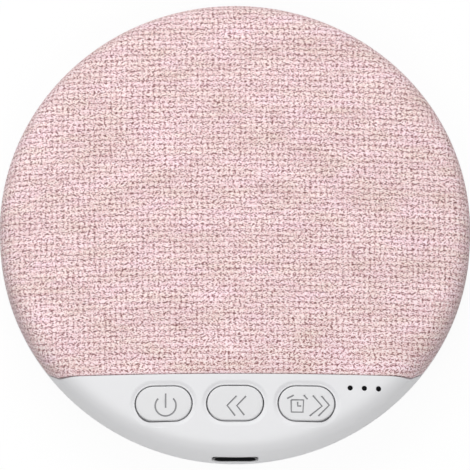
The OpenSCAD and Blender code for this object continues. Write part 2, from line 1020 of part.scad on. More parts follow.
module speaker_lead_red() {
    color("#b02a2a")
        speaker_lead(1);
}

module speaker_lead_black() {
    color("#1d1d1f")
        speaker_lead(-1);
}

// Foot of the frame's cone, where it grips the yoke
function frame_foot() = yoke_z + 2;
function frame_foot_r() = yoke_d / 2 + yoke_gap;
function terminal_z() = speaker_z + frame_foot() - 0.3;
function terminal_front() = speaker_y - frame_foot_r() - 5;

module speaker_frame() {
    r = frame_bore;
    foot = frame_foot();
    foot_r = frame_foot_r();
    color("#3b3c40")
        at_speaker()
            difference() {
                rotate_extrude()
                    polygon([
                        [r, 0], [r, -2.2], [foot_r + 1, foot + 0.8], [foot_r, foot + 0.8], [foot_r, foot],
                        [foot_r + 1.4, foot], [r + frame_wall, -2.6], [r + frame_wall, -frame_flange_t],
                        [speaker_d / 2, -frame_flange_t], [speaker_d / 2, 0]
                    ]);
                for (a = [0:90:270])
                    rotate([0, 0, a + 45])
                        translate([foot_r + 2, -4, foot + 1.4])
                            cube([far, 8, -2.4 - foot - 1.4]);
            }
}

module speaker_yoke() {
    color("#8e9194")
        at_speaker()
            translate([0, 0, yoke_z])
                difference() {
                    cylinder(d = yoke_d, h = yoke_h);
                    translate([0, 0, yoke_t])
                        cylinder(d = yoke_d - 2 * yoke_t - 1.6, h = yoke_h);
                }
}

module speaker_magnet() {
    color("#6c6f73")
        at_speaker()
            translate([0, 0, magnet_z])
                cylinder(d = magnet_d, h = magnet_t);
}

module speaker_top_plate() {
    color("#9a9da0")
        at_speaker()
            translate([0, 0, magnet_z + magnet_t])
                cylinder(d = top_plate_d, h = yoke_top - magnet_z - magnet_t);
}

// Solder strip under the frame's foot
module speaker_terminals() {
    color("#8a6a3a")
        at_speaker()
            difference() {
                translate([-3, -frame_foot_r() - 5, frame_foot() - 0.6])
                    cube([6, 5.5, 0.6]);
                translate([0, 0, yoke_z - 1])
                    cylinder(r = frame_foot_r() + yoke_gap, h = far);
            }
}

module speaker_gasket() {
    color("#2a2a2c")
        at_speaker()
            translate([0, 0, -frame_flange_t - gasket_t])
                difference() {
                    cylinder(d = speaker_d, h = gasket_t);
                    translate([0, 0, -1])
                        cylinder(r = frame_bore + frame_wall + frame_gap, h = gasket_t + 2);
                }
}

// Foam pad between the yoke and the back
module speaker_pad() {
    color("#4a4a4e")
        translate([0, speaker_y, floor_z])
            cylinder(d = yoke_d - 4, h = speaker_z + yoke_z - floor_z);
}

// Half roll between the cone and the frame, with a glued lip on each
module surround() {
    color("#242426")
        at_speaker()
            rotate_extrude() {
                translate([roll_c, 0])
                    intersection() {
                        difference() {
                            circle(roll_r);
                            circle(roll_r - roll_t);
                        }
                        translate([-roll_r, 0])
                            square([2 * roll_r, roll_r]);
                    }
                translate([cone_r - lip_w, 0])
                    square([lip_w, roll_t]);
                translate([roll_c + roll_r - roll_t, 0])
                    square([lip_w + roll_t, roll_t]);
            }
}

// Cone with a flat neck, a dome inside it and a flat rim under the surround's lip
module diaphragm() {
    t = diaphragm_t;
    neck = -neck_depth;
    steps = 8;
    dome = [for (i = [0:steps]) let (f = i / steps) [(neck_r - 1) * f, neck + dome_h * (1 - f * f)]];
    color("#c9c4b8")
        at_speaker()
            rotate_extrude()
                polygon(concat(
                    dome,
                    [[neck_r + 0.3, neck], [cone_r - lip_w, -t], [cone_r, -t], [cone_r, 0]],
                    [[cone_r - lip_w - 0.2, 0], [neck_r, neck + t], [neck_r - 1 - t / 2, neck + t]],
                    [for (i = [steps - 1:-1:0]) dome[i] + [0, t]]
                ));
}

module voice_coil() {
    color("#b87333")
        at_speaker()
            translate([0, 0, coil_foot])
                difference() {
                    cylinder(d = coil_bore + 2 * coil_t, h = -neck_depth - coil_foot);
                    translate([0, 0, -1])
                        cylinder(d = coil_bore, h = far);
                }
}

// Screw with a plain round head, its shank upwards from the head's bearing face
module screw(d, l, head_d, head_h) {
    cylinder(d = d, h = l);
    translate([0, 0, -head_h])
        cylinder(d = head_d, h = head_h);
}

module case_screws() {
    color("#9c9fa3")
        at_screws()
            translate([0, 0, head_seat])
                screw(screw_d, screw_l, screw_head_d, screw_head_h);
}

module board_screws() {
    color("#9c9fa3")
        at_board_screws()
            translate([0, 0, board_top])
                mirror([0, 0, 1])
                    screw(board_screw_d, board_screw_l, board_screw_head_d, board_screw_head_h);
}

module screw_plugs() {
    color(white)
        at_screws()
            translate([0, 0, plug_recess])
                cylinder(d = counterbore_d - 0.1, h = plug_t);
}

rear_shell();
front_housing();
grille_panel();
fabric_cover();
power_button();
back_button();
timer_button();
power_plunger();
back_plunger();
timer_plunger();
switch_bodies();
indicator_lens();
indicator_leds();
main_board();
audio_chip();
radio_module();
usb_shell();
usb_tongue();
usb_contacts();
battery_cell();
battery_pad();
battery_socket();
battery_plug();
battery_lead_red();
battery_lead_black();
speaker_frame();
speaker_yoke();
speaker_magnet();
speaker_top_plate();
speaker_terminals();
speaker_gasket();
speaker_pad();
surround();
diaphragm();
voice_coil();
speaker_socket();
speaker_plug();
speaker_lead_red();
speaker_lead_black();
case_screws();
board_screws();
screw_plugs();
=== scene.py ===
import math

import bmesh
import bpy
from bpy.props import FloatProperty, FloatVectorProperty, PointerProperty
from mathutils import Matrix, Vector
from mathutils.geometry import delaunay_2d_cdt
from mathutils.kdtree import KDTree


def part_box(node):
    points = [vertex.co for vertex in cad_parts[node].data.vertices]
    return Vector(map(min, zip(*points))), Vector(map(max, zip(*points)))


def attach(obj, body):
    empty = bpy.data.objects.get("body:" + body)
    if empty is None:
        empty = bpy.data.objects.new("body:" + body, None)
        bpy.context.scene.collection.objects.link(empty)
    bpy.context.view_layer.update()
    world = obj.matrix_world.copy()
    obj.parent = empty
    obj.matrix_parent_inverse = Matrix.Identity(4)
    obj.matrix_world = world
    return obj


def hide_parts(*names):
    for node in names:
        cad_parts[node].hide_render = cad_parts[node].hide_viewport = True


bl_info = {
    "name": "Pillow speaker",
    "version": (1, 0, 0),
    "blender": (4, 5, 0),
    "location": "View3D > Sidebar > Speaker",
    "description": "Dresses the pillow speaker with its cover, housing, buttons and finishes",
    "category": "Object",
}

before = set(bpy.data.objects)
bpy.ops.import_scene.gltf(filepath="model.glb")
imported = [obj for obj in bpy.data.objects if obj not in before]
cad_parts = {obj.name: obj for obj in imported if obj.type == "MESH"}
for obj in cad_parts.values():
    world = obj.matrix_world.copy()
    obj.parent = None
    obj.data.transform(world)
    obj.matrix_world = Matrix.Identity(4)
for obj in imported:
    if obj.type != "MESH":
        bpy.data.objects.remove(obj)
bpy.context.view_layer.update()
cover_low, cover_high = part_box("fabric_cover")
rear_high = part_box("rear_shell")[1]

MM = 0.001
UP = Vector((0, 0, 1))
ORDER = Vector((1, 0.618, 0.377))  # direction along which a mesh is sorted, askew to all of it
WHITE = (1, 1, 1, 1)
BUTTONS = ("power", "back", "timer")
CLOTH_TILE = 0.12  # metres of cloth in one unit of its UV map

SAME = 1e-7  # points this close, in metres, are one point
SLACK = 1e-6  # slack in metres where two places are compared
SLIVER = 0.02 * MM  # shorter edges that a cut leaves are closed up
CRUMB = 0.002 * MM  # the same for the edges of the engraved signs
LEVEL = 0.01 * MM  # points this close to a solid's end lie on it
SHARP = math.radians(50)  # edges that turn more than this are shaded sharp
SOLID_SHARP = math.radians(20)  # the same on a piece that is cut from a solid


# ---------------------------------------------------------------- sizes and colours


def kind_of(prop, **settings):
    """Function that makes properties of one kind from a name, a description and a default."""
    return lambda name, description, value: prop(name=name, description=description,
                                                 default=value, **settings)


length = kind_of(FloatProperty, unit="LENGTH", precision=5)
angle = kind_of(FloatProperty, subtype="ANGLE")
amount = kind_of(FloatProperty, min=0)
spot = kind_of(FloatVectorProperty, subtype="TRANSLATION", unit="LENGTH", size=3)
colour = kind_of(FloatVectorProperty, subtype="COLOR", size=3, min=0, max=1)


class SpeakerSizes(bpy.types.PropertyGroup):
    """Sizes of the dressed speaker."""

    body_radius: length("Body radius", "Radius of the round body", rear_high.x)
    body_top: length("Body top", "Height of the crowned front at its middle", cover_high.z)
    crown_radius: length("Crown radius", "Radius of the ball that the front lies on", 290 * MM)
    front_edge: length("Front edge", "Radius of the rounded front edge", 4 * MM)
    parting: length("Parting height", "Height of the joint between the two halves", 3.6 * MM)
    cover_hem: length("Cover hem", "Height of the cover's lower edge", cover_low.z)
    cover_edge: length("Cover edge", "Distance of the cover's straight edge from the middle",
                       31.82 * MM)
    turn_height: length("Turn height", "Height on the wall where the cover's edge begins to lean",
                        10.1 * MM)
    edge_round: length("Edge round", "Radius with which the cover's edge turns there", 8 * MM)
    edge_lean: angle("Edge lean", "Lean of the cover's edge on the wall", math.radians(25))
    seam: length("Seam", "Gap between the cover and the housing", 0.12 * MM)
    cloth: length("Cloth", "Thickness of the cover's cloth", 0.42 * MM)
    cloth_fold: length("Cloth fold", "Radius of the cover's folded edge", 0.35 * MM)
    cloth_return: length("Cloth return", "Depth to which the folded cloth runs in", 1.6 * MM)
    wall: length("Wall", "Wall of the moulded housing", 1.5 * MM)
    ring_edge: length("Ring edge", "Distance from the middle where the housing's ring wall ends",
                      30.78 * MM)
    housing_edge: length("Housing edge", "Radius of the housing's edge along the seam", 0.15 * MM)
    button_length: length("Button length", "Length of a button", 11.2 * MM)
    button_width: length("Button width", "Width of a button", 6.95 * MM)
    button_row: length("Button row", "Distance of the row of buttons from the middle", 37.85 * MM)
    button_gap: length("Button gap", "Gap round a button", 0.30 * MM)
    button_proud: length("Button proud", "Height of a button over the housing", 0.15 * MM)
    button_edge: length("Button edge", "Radius of a button's upper edge", 0.3 * MM)
    button_lip: length("Opening lip", "Width of the dished lip of a button's opening", 1.0 * MM)
    button_dip: length("Opening dip", "Depth of the dished lip on a button's upper side",
                       0.62 * MM)
    button_sink: length("Button sink", "How much deeper a button and its lip lie on the upper side",
                        0.45 * MM)
    flange_lip: length("Flange lip", "Reach of a button's retaining flange", 0.65 * MM)
    flange_play: length("Flange play", "Play between a button's flange and the housing", 0.15 * MM)
    flange: length("Flange", "Thickness of a button's retaining flange", 0.8 * MM)
    post: length("Post", "Diameter of a button's post", 3 * MM)
    sign_line: length("Sign line", "Width of an engraved line", 0.34 * MM)
    hole: length("Indicator hole", "Diameter of an indicator hole", 1.06 * MM)
    hole_edge: length("Indicator edge", "Radius of an indicator hole's edge", 0.05 * MM)
    hole_pitch: length("Indicator pitch", "Distance between the indicator holes", 2.86 * MM)
    hole_x: length("Indicator place", "Distance of the middle hole from the middle plane",
                   26.03 * MM)
    hole_row: length("Indicator row", "Distance of the row of holes from the middle", 34.6 * MM)
    guide_fit: length("Guide fit", "Fit of a light guide in its hole, on each side", 0.02 * MM)
    guide_sunk: length("Guide sunk", "Depth of a light guide's end below the housing", 0.12 * MM)
    port_length: length("Port length", "Length of the charging port's opening", 9.38 * MM)
    port_height: length("Port height", "Height of the charging port's opening", 3.7 * MM)
    port_corner: length("Port corner", "Radius of the corners of the port's opening", 1.1 * MM)
    port_edge: length("Port edge", "Radius of the edge round the port's opening", 0.1 * MM)
    pitch: length("Yarn pitch", "Spacing of the cloth's upright yarns", 1.09 * MM)
    row: length("Yarn row", "Spacing of the cloth's lying yarns", 1.155 * MM)
    stray: length("Yarn stray", "How far the yarns stray from their rows", 0.7 * MM)


class SpeakerColours(bpy.types.PropertyGroup):
    """Colours of the dressed speaker."""

    housing: colour("Housing", "Moulded housing", (0.80, 0.80, 0.815))
    button: colour("Buttons", "Push buttons", (0.755, 0.755, 0.765))
    sign: colour("Signs", "Engraved lines on the buttons", (0.30, 0.30, 0.31))
    # The light yarn colour is partly a painted highlight on the raised yarns, and the dark yarn
    # colour partly painted shade in the pits; both are also the yarn's own paler and darker fibres.
    yarn_pale_and_highlight: colour("Light yarn", "Raised yarn of the cover", (1.0, 0.875, 0.895))
    yarn_mid: colour("Middle yarn", "Most of the cover's yarn", (0.88, 0.585, 0.605))
    yarn_dark_and_pit_shade: colour("Dark yarn", "Yarn between the bumps", (0.20, 0.085, 0.085))
    floor: colour("Floor", "Floor of the stage", (0.42, 0.42, 0.42))


def sizes():
    return bpy.context.scene.speaker_sizes


def colours():
    return bpy.context.scene.speaker_colours


# ---------------------------------------------------------------- form of the front


class Front:
    """The crowned front: a ball's cap, a rounded edge and an upright wall."""

    def __init__(self):
        s = sizes()
        self.radius = s.body_radius
        self.crown = s.crown_radius
        self.edge = s.front_edge
        self.crown_z = s.body_top - s.crown_radius
        self.edge_r = self.radius - self.edge
        self.lean = math.asin(self.edge_r / (self.crown - self.edge))
        self.turn = math.pi / 2 - self.lean
        self.edge_z = self.crown_z + (self.crown - self.edge) * math.cos(self.lean)
        self.meet = self.crown * math.sin(self.lean)

    def height(self, x, y):
        """Height of the front over a point of the plan."""
        reach = math.hypot(x, y)
        if reach > self.meet:
            rise = max(0.0, self.edge ** 2 - (reach - self.edge_r) ** 2)
            return self.edge_z + math.sqrt(rise)
        return self.crown_z + math.sqrt(self.crown ** 2 - reach ** 2)

    def over(self, x, y, proud=0.0):
        """Point of the front over a point of the plan."""
        point = Vector((x, y, self.height(x, y)))
        return point + self.normal(point) * proud

    def about(self, x, y):
        """Function that gives the front's points by their distance from a place of the plan."""
        return lambda u, v: self.over(x + u, y + v)

    def normal(self, point):
        """Outward direction of the front at a point on it."""
        across = Vector((point.x, point.y, 0))
        if across.length <= self.meet + SLACK:
            return (point - Vector((0, 0, self.crown_z))).normalized()
        across.normalize()
        if point.z <= self.edge_z:
            return across
        return (point - across * self.edge_r - UP * self.edge_z).normalized()

    def flat(self, point):
        """Where a point of the front lies on the flat cloth."""
        across = Vector((point.x, point.y))
        reach = across.length
        if reach < SAME:
            return Vector((0, 0, 0))
        if reach <= self.meet + SLACK:
            run = self.crown * math.asin(min(1, reach / self.crown))
        elif point.z > self.edge_z:
            turn = math.atan2(reach - self.edge_r, point.z - self.edge_z)
            run = self.crown * self.lean + self.edge * (turn - self.lean)
        else:
            run = self.crown * self.lean + self.edge * self.turn + self.edge_z - point.z
        across *= run / reach
        return Vector((across.x, across.y, 0))

    def trace(self, bm, start, bottom, crown_steps, edge_steps=10, wall_steps=4):
        """Half section of the front, from a radius out over the edge and down the wall."""
        begin = math.asin(start / self.crown)
        vert = bm.verts.new((start, 0, self.crown_z + self.crown * math.cos(begin)))
        vert = arc(bm, vert, (0, 0, self.crown_z), self.lean - begin, crown_steps)
        vert = arc(bm, vert, (self.edge_r, 0, self.edge_z), self.turn, edge_steps)
        drop = (self.edge_z - bottom) / wall_steps
        for _ in range(wall_steps):
            vert = grown(bm, vert)
            vert.co.z -= drop


def cover_planes(offset, steps=6):
    """Planes along the cover's lower edge, moved out by offset: upright, then leaning."""
    s = sizes()
    middle = Vector((0, s.edge_round - s.cover_edge,
                     s.turn_height + s.edge_round * math.tan(s.edge_lean / 2)))
    planes = []
    for k in range(steps + 1):
        lean = s.edge_lean * k / steps
        out = Vector((0, -math.cos(lean), -math.sin(lean)))
        planes.append((middle + out * (s.edge_round + offset), out))
    return planes


# ---------------------------------------------------------------- steps of modelling


def arc(bm, vert, centre, turn, steps, axis=(0, 1, 0)):
    """Carry a vertex round a centre, and give the last vertex."""
    made = bmesh.ops.spin(bm, geom=[vert], cent=centre, axis=axis, angle=turn, steps=steps)
    return next(g for g in made["geom_last"] if isinstance(g, bmesh.types.BMVert))


def grown(bm, vert):
    """New vertex at the place of a vertex and joined to it."""
    return bmesh.ops.extrude_vert_indiv(bm, verts=[vert])["verts"][0]


def in_order(bm):
    """Sort a mesh by place, because some operators leave it in an order that changes."""
    bm.verts.sort(key=lambda v: v.co.dot(ORDER))
    bm.edges.sort(key=lambda e: (e.verts[0].co + e.verts[1].co).dot(ORDER))
    bm.faces.sort(key=lambda f: f.calc_center_median().dot(ORDER))


def merge(bm, apart=SAME):
    """Make one vertex of those that lie close together."""
    in_order(bm)
    bmesh.ops.remove_doubles(bm, verts=bm.verts[:], dist=apart)
    in_order(bm)


def cut(bm, geometry, point, out, clear=False):
    """Cut a mesh along a plane, and clear what is outside it if asked."""
    bmesh.ops.bisect_plane(bm, geom=geometry, dist=SAME, plane_co=point, plane_no=out,
                           clear_outer=clear)


def everything(bm):
    """All vertices, edges and faces of a mesh."""
    return bm.verts[:] + bm.edges[:] + bm.faces[:]


def of_faces(faces):
    """Faces with their edges and vertices."""
    edges = dict.fromkeys(e for f in faces for e in f.edges)
    verts = dict.fromkeys(v for f in faces for v in f.verts)
    return [*faces, *edges, *verts]


def open_edges(bm):
    """Edges that have a face on one side alone."""
    return [e for e in bm.edges if e.is_boundary]


def round_over(radius, depth, steps=5, sink=0.0):
    """Steps (out, in, down) of a rounded edge that then runs in to depth and down by sink."""
    turns = [math.pi / 2 * k / steps for k in range(1, steps + 1)]
    path = [(radius * math.sin(a), radius * (1 - math.cos(a)), 0.0) for a in turns]
    return path + [(radius, depth, sink)]


def dished(wide, depth, sink, steps=10):
    """Steps (out, in, down) of a soft dip of a width and depth that then drops by sink."""
    shares = [k / steps for k in range(1, steps + 1)]
    path = [(wide * t, depth * t * t * (3 - 2 * t), 0.0) for t in shares]
    return path + [(wide, depth, sink)]


def carry_edge(bm, edges, path, normal_at, towards, layer=None):
    """Carry open edges of a skin through (out, in, down) steps, and give each vertex's last one.

    path is a list of steps, or path(point) gives the list for a point of the edges, and
    towards(point) is a direction on the open side of an edge at that point.
    """
    outward = {}
    for e in edges:
        a, b = e.verts
        middle = (a.co + b.co) / 2
        side = (b.co - a.co).cross(normal_at(middle)).normalized()
        if side.dot(towards(middle)) < 0:
            side.negate()
        for v in e.verts:
            outward.setdefault(v, []).append(side)
    start = {}
    for v, sides in outward.items():
        normal = normal_at(v.co)
        out = sum(sides, Vector())
        out -= normal * out.dot(normal)
        out.normalize()
        out /= max(0.5, out.dot(sides[0]))  # a corner reaches further, to twice the step at most
        start[v] = (v.co.copy(), out, normal, path(v.co) if callable(path) else path)
    flat = {v: v[layer].copy() for v in start} if layer else {}
    last = {v: v for v in start}
    rim = list(edges)
    for k in range(len(next(iter(start.values()))[3])):
        made = bmesh.ops.extrude_edge_only(bm, edges=rim)["geom"]
        new = {g for g in made if isinstance(g, bmesh.types.BMVert)}
        origin = {now: first for first, now in last.items()}
        step = {}
        for v in new:
            others = (e.other_vert(v) for e in v.link_edges)
            first = next(origin[other] for other in others if other in origin)
            place, side, normal, steps = start[first]
            out, deep, down = steps[k]
            v.co = place + side * out - normal * deep - UP * down
            if layer:
                plan = Vector((side.x, side.y, 0))
                v[layer] = flat[first] + plan.normalized() * (out + deep)
            step[first] = v
        rim = [g for g in made if isinstance(g, bmesh.types.BMEdge) and set(g.verts) <= new]
        last = step
    return last


def inward(edges):
    """Direction towards the middle of a closed outline, as carry_edge takes it."""
    points = [v.co.copy() for e in edges for v in e.verts]
    middle = sum(points, Vector()) / len(points)
    return lambda point: middle - point


def close_back(bm, faces, ends, back_of):
    """Close a skin with a back: its own faces again, set back, joined to the ends of its edges."""
    verts = {v for f in faces for v in f.verts}
    made = bmesh.ops.duplicate(bm, geom=of_faces(faces))
    twin = made["vert_map"]
    for v in verts:
        twin[v].co = ends[v].co if v in ends else back_of(v.co)
    merge(bm)
    bmesh.ops.recalc_face_normals(bm, faces=bm.faces[:])


def outline_at(verts, place):
    """Set the points of a flat outline by place(x, y), and give its edges."""
    for v in verts:
        v.co = place(v.co.x, v.co.y)
    return list(dict.fromkeys(e for v in verts for e in v.link_edges))


def pill(bm, long, wide, place, steps=8, corner=None):
    """Closed outline of a rounded rectangle; without a corner radius its ends are round."""
    corner = corner or wide / 2
    half = Vector((long / 2 - corner, wide / 2 - corner, 0))
    quarter = math.pi / 2
    before = set(bm.verts)
    first = vert = bm.verts.new((half.x, -wide / 2, 0))
    for turn in range(4):
        side = Matrix.Rotation(turn * quarter, 3, "Z") @ Vector((1, -1, 0))
        centre = Vector((half.x * round(side.x), half.y * round(side.y), 0))
        vert = arc(bm, vert, centre, quarter, steps, UP)
        run = Matrix.Rotation((turn + 1) * quarter, 3, "Z") @ Vector((1, 0, 0))
        run *= 2 * abs(run.x * half.x + run.y * half.y)
        if turn < 3 and run.length > SAME:
            vert = grown(bm, vert)
            vert.co += run
    bm.edges.new((vert, first))
    return outline_at([v for v in bm.verts if v not in before], place)


def in_pill(u, v, long, wide, corner=None):
    """Whether a place is inside such an outline about the plan's middle."""
    corner = corner or wide / 2
    beyond = max(0.0, abs(u) - long / 2 + corner), max(0.0, abs(v) - wide / 2 + corner)
    return math.hypot(*beyond) < corner


def ring(bm, wide, place, segments=20):
    """Closed round outline."""
    made = bmesh.ops.create_circle(bm, cap_ends=False, segments=segments, radius=wide / 2)
    return outline_at(made["verts"], place)


def rod(bm, wide, low, high, place, segments):
    """Upright round rod between two heights at a place of the plan."""
    made = bmesh.ops.create_cone(bm, cap_ends=True, segments=segments, radius1=wide / 2,
                                 radius2=wide / 2, depth=high - low)["verts"]
    bmesh.ops.translate(bm, verts=made, vec=(*place, (high + low) / 2))
    return made


def fill(bm, edges, flat, place, inside, spots):
    """Fill the area between outlines with even triangles that use the given spots.

    flat(point) is a point's place in the plan, place(u, v) the point over a place of the plan, and
    inside(u, v) says whether a place of the plan is in the area. The plan is worked out in mm.
    """
    rim = list(dict.fromkeys(v for e in edges for v in e.verts))
    index = {v: k for k, v in enumerate(rim)}
    plan = [Vector(flat(v.co)) / MM for v in rim]
    near = KDTree(len(rim))
    for k, point in enumerate(plan):
        near.insert((*point, 0), k)
    near.balance()
    for u, v, apart in spots:
        if inside(u, v) and near.find((u / MM, v / MM, 0))[2] > apart / MM:
            plan.append(Vector((u, v)) / MM)
    pairs = [tuple(index[v] for v in e.verts) for e in edges]
    to_hull = 0  # kind of result: triangles out to the hull of all points
    close = 1e-6  # points this close are one
    speck = 1e-3  # a group with no larger triangle than this is left out
    points, lines, triangles, origins, sources, _ = delaunay_2d_cdt(plan, pairs, [], to_hull, close)
    fixed = {frozenset(line) for line, source in zip(lines, sources) if source}

    def area(triangle):
        a, b, c = (points[k] for k in triangle)
        return abs((b - a).cross(c - a)) / 2

    chosen = []
    for group in parted(triangles, fixed):
        largest = max(group, key=area)
        middle = sum((points[k] for k in largest), Vector((0, 0))) / 3 * MM
        if area(largest) > speck and inside(*middle):
            chosen += group
    if not chosen:
        raise RuntimeError("the outlines could not be filled")
    verts = {}
    for k in {k for triangle in chosen for k in triangle}:
        known = [j for j in origins[k] if j < len(rim)]
        verts[k] = rim[known[0]] if known else bm.verts.new(place(*(points[k] * MM)))
    return [bm.faces.new([verts[k] for k in triangle]) for triangle in chosen]


def parted(triangles, fixed):
    """Groups of triangles that fixed lines part from each other."""
    def sides(triangle):
        return [frozenset((triangle[k - 1], triangle[k])) for k in range(3)]

    beside = {}
    for k, triangle in enumerate(triangles):
        for side in sides(triangle):
            beside.setdefault(side, []).append(k)
    left, groups = set(range(len(triangles))), []
    while left:
        todo, group = [left.pop()], []
        while todo:
            k = todo.pop()
            group.append(triangles[k])
            free = [side for side in sides(triangles[k]) if side not in fixed]
            near = {j for side in free for j in beside[side]} & left
            left -= near
            todo += near
        groups.append(group)
    return groups


def open_again(bm, faces, outlines, *plan):
    """Take faces out of a skin and fill it again round the given outlines."""
    chosen = set(faces)
    border = [e for e in dict.fromkeys(e for f in faces for e in f.edges)
              if len(e.link_faces) == 1 or not set(e.link_faces) <= chosen]
    bmesh.ops.delete(bm, geom=list(faces), context="FACES_KEEP_BOUNDARY")
    return fill(bm, border + outlines, *plan)


def grid_spots(low, high, pitch):
    """Staggered spots of an even grid between two corners of the plan, with their room."""
    row, room = 0.866, 0.55  # height of a row and room round a spot, as shares of the pitch
    rows = int((high[1] - low[1]) / (pitch * row)) + 1
    columns = int((high[0] - low[0]) / pitch) + 1
    return [(low[0] + (i + 0.5 * (j % 2)) * pitch, low[1] + j * pitch * row, room * pitch)
            for j in range(rows) for i in range(columns)]


# ---------------------------------------------------------------- objects


def linked(name, data):
    """New object with its data, in the scene."""
    obj = bpy.data.objects.new(name, data)
    bpy.context.scene.collection.objects.link(obj)
    return obj


def shade(mesh, sharp):
    """Shade a mesh smooth, with its sharp edges marked."""
    mesh.shade_smooth()
    mesh.set_sharp_from_angle(angle=sharp)


def as_object(name, bm, *materials, sharp=SHARP):
    """Mesh object made from a bmesh."""
    mesh = bpy.data.meshes.new(name)
    bm.to_mesh(mesh)
    bm.free()
    for material in materials:
        mesh.materials.append(material)
    shade(mesh, sharp)
    return linked(name, mesh)


def settle(obj):
    """Apply an object's modifiers to its mesh."""
    bpy.context.view_layer.update()
    depsgraph = bpy.context.evaluated_depsgraph_get()
    mesh = bpy.data.meshes.new_from_object(obj.evaluated_get(depsgraph),
                                           preserve_all_data_layers=True, depsgraph=depsgraph)
    obj.modifiers.clear()
    old, obj.data = obj.data, mesh
    mesh.name = obj.name
    bpy.data.meshes.remove(old)
    shade(mesh, SHARP)


def carve(obj, tool):
    """Cut a closed shape out of an object, and remove the shape."""
    knife = obj.modifiers.new("carve", "BOOLEAN")
    knife.operation = "DIFFERENCE"
    knife.solver = "EXACT"
    knife.use_self = True
    knife.material_mode = "TRANSFER"
    knife.object = tool
    settle(obj)
    bpy.data.objects.remove(tool)
    bm = bmesh.new()
    bm.from_mesh(obj.data)
    bmesh.ops.dissolve_degenerate(bm, dist=CRUMB, edges=bm.edges[:])
    bm.to_mesh(obj.data)
    bm.free()


# ---------------------------------------------------------------- finishes


class Nodes:
    """A tree of shader nodes being put together."""

    def __init__(self, tree):
        self.tree = tree

    def node(self, kind, inputs=None, **settings):
        """New node with its settings, and its inputs linked or set."""
        made = self.tree.nodes.new("ShaderNode" + kind)
        for key, value in settings.items():
            setattr(made, key, value)
        for key, value in (inputs or {}).items():
            self.put(value, made.inputs[key])
        return made

    def put(self, value, socket):
        """Link an output to a socket, or set the socket to a value."""
        if isinstance(value, bpy.types.NodeSocket):
            self.tree.links.new(value, socket)
        else:
            socket.default_value = value

    def math(self, operation, a, b=0.0, clamp=False):
        made = self.node("Math", {0: a, 1: b}, operation=operation, use_clamp=clamp)
        return made.outputs[0]

    def total(self, *parts):
        """Sum of values, each with its weight."""
        result, *others = [self.math("MULTIPLY", value, weight) for value, weight in parts]
        for other in others:
            result = self.math("ADD", result, other)
        return result

    def vector(self, operation, inputs):
        return self.node("VectorMath", inputs, operation=operation).outputs[0]

    def mix(self, factor, a, b, blend="MIX"):
        made = self.node("Mix", {0: factor, 6: a, 7: b}, data_type="RGBA", blend_type=blend)
        return made.outputs[2]

    def span(self, value, low, high, to_low=0.0, to_high=1.0):
        """Value carried from one range into another."""
        made = self.node("MapRange", {0: value, 1: low, 2: high, 3: to_low, 4: to_high})
        return made.outputs[0]

    def stretched(self, vector, scale, turn=0.0):
        """Place turned in the plan and scaled."""
        inputs = {"Vector": vector, "Rotation": (0, 0, math.radians(turn)), "Scale": scale}
        return self.node("Mapping", inputs).outputs[0]

    def noise(self, vector, scale=1.0, detail=2.0, rough=0.5):
        inputs = {"Vector": vector, "Scale": scale, "Detail": detail, "Roughness": rough}
        return self.node("TexNoise", inputs).outputs["Fac"]

    def seen(self):
        """Output that is 1 where the camera, a reflection or a clear piece looks."""
        path = self.node("LightPath").outputs
        total = path["Is Camera Ray"]
        for name in ("Is Glossy Ray", "Is Transmission Ray"):
            total = self.math("ADD", total, path[name], clamp=True)
        return total

    def blend_shaders(self, factor, a, b, end):
        """Blend two shader nodes into a tree's end node."""
        both = self.node("MixShader", {0: factor, 1: a.outputs[0], 2: b.outputs[0]})
        self.put(both.outputs[0], self.tree.nodes[end].inputs[0])


class Finish(Nodes):
    """A procedural finish being put together from nodes."""

    def __init__(self, name):
        self.material = bpy.data.materials.new(name)
        self.material.use_nodes = True
        super().__init__(self.material.node_tree)
        self.shader = self.tree.nodes["Principled BSDF"]

    def set(self, **values):
        """Set the shader's sockets."""
        for key, value in values.items():
            self.put(value, self.shader.inputs[key.replace("_", " ")])

    def bump(self, height, strength, distance):
        inputs = {"Height": height, "Strength": strength, "Distance": distance}
        return self.node("Bump", inputs).outputs["Normal"]

    def place(self):
        return self.node("TexCoord").outputs["Object"]


def rgba(value, share=1.0):
    """Colour made darker or lighter by a share, as a shader takes it."""
    return (*(min(1.0, c * share) for c in value), 1.0)


def moulded(name, base, rough, relief=0.05, mottle=0.03, specular=0.5):
    """Moulded plastic or rubber: slight mottling, uneven gloss and a fine spark-eroded grain."""
    clouds, gloss, grain = 70.0, 900.0, 5200.0  # repeats in a metre
    uneven = 0.05  # how far the roughness strays
    grain_depth = 0.06 * MM
    f = Finish(name)
    place = f.place()
    cloud = f.noise(place, clouds, detail=3.0)
    f.set(Base_Color=f.mix(cloud, rgba(base, 1 - mottle), rgba(base, 1 + mottle)))
    f.set(Roughness=f.span(f.noise(place, gloss), 0.25, 0.75, rough - uneven, rough + uneven))
    f.set(Normal=f.bump(f.noise(place, grain, detail=1.5), relief, grain_depth))
    f.set(Specular_IOR_Level=specular)
    return f.material


def metal(name, base, rough, stretch=(60.0, 2400.0, 2400.0), relief=0.08):
    """Worked metal: fine lines from drawing or rolling, and a gloss that varies along them."""
    clouds, mottle = 220.0, 0.08
    smoother, rougher = max(0.05, rough - 0.08), rough + 0.1
    line_depth = 0.04 * MM
    f = Finish(name)
    place = f.place()
    lines = f.noise(f.stretched(place, stretch), detail=3.0)
    cloud = f.noise(place, clouds)
    f.set(Base_Color=f.mix(cloud, rgba(base, 1 - mottle), rgba(base, 1 + mottle)), Metallic=1.0)
    f.set(Roughness=f.span(lines, 0.2, 0.8, smoother, rougher))
    f.set(Normal=f.bump(lines, relief, line_depth))
    return f.material


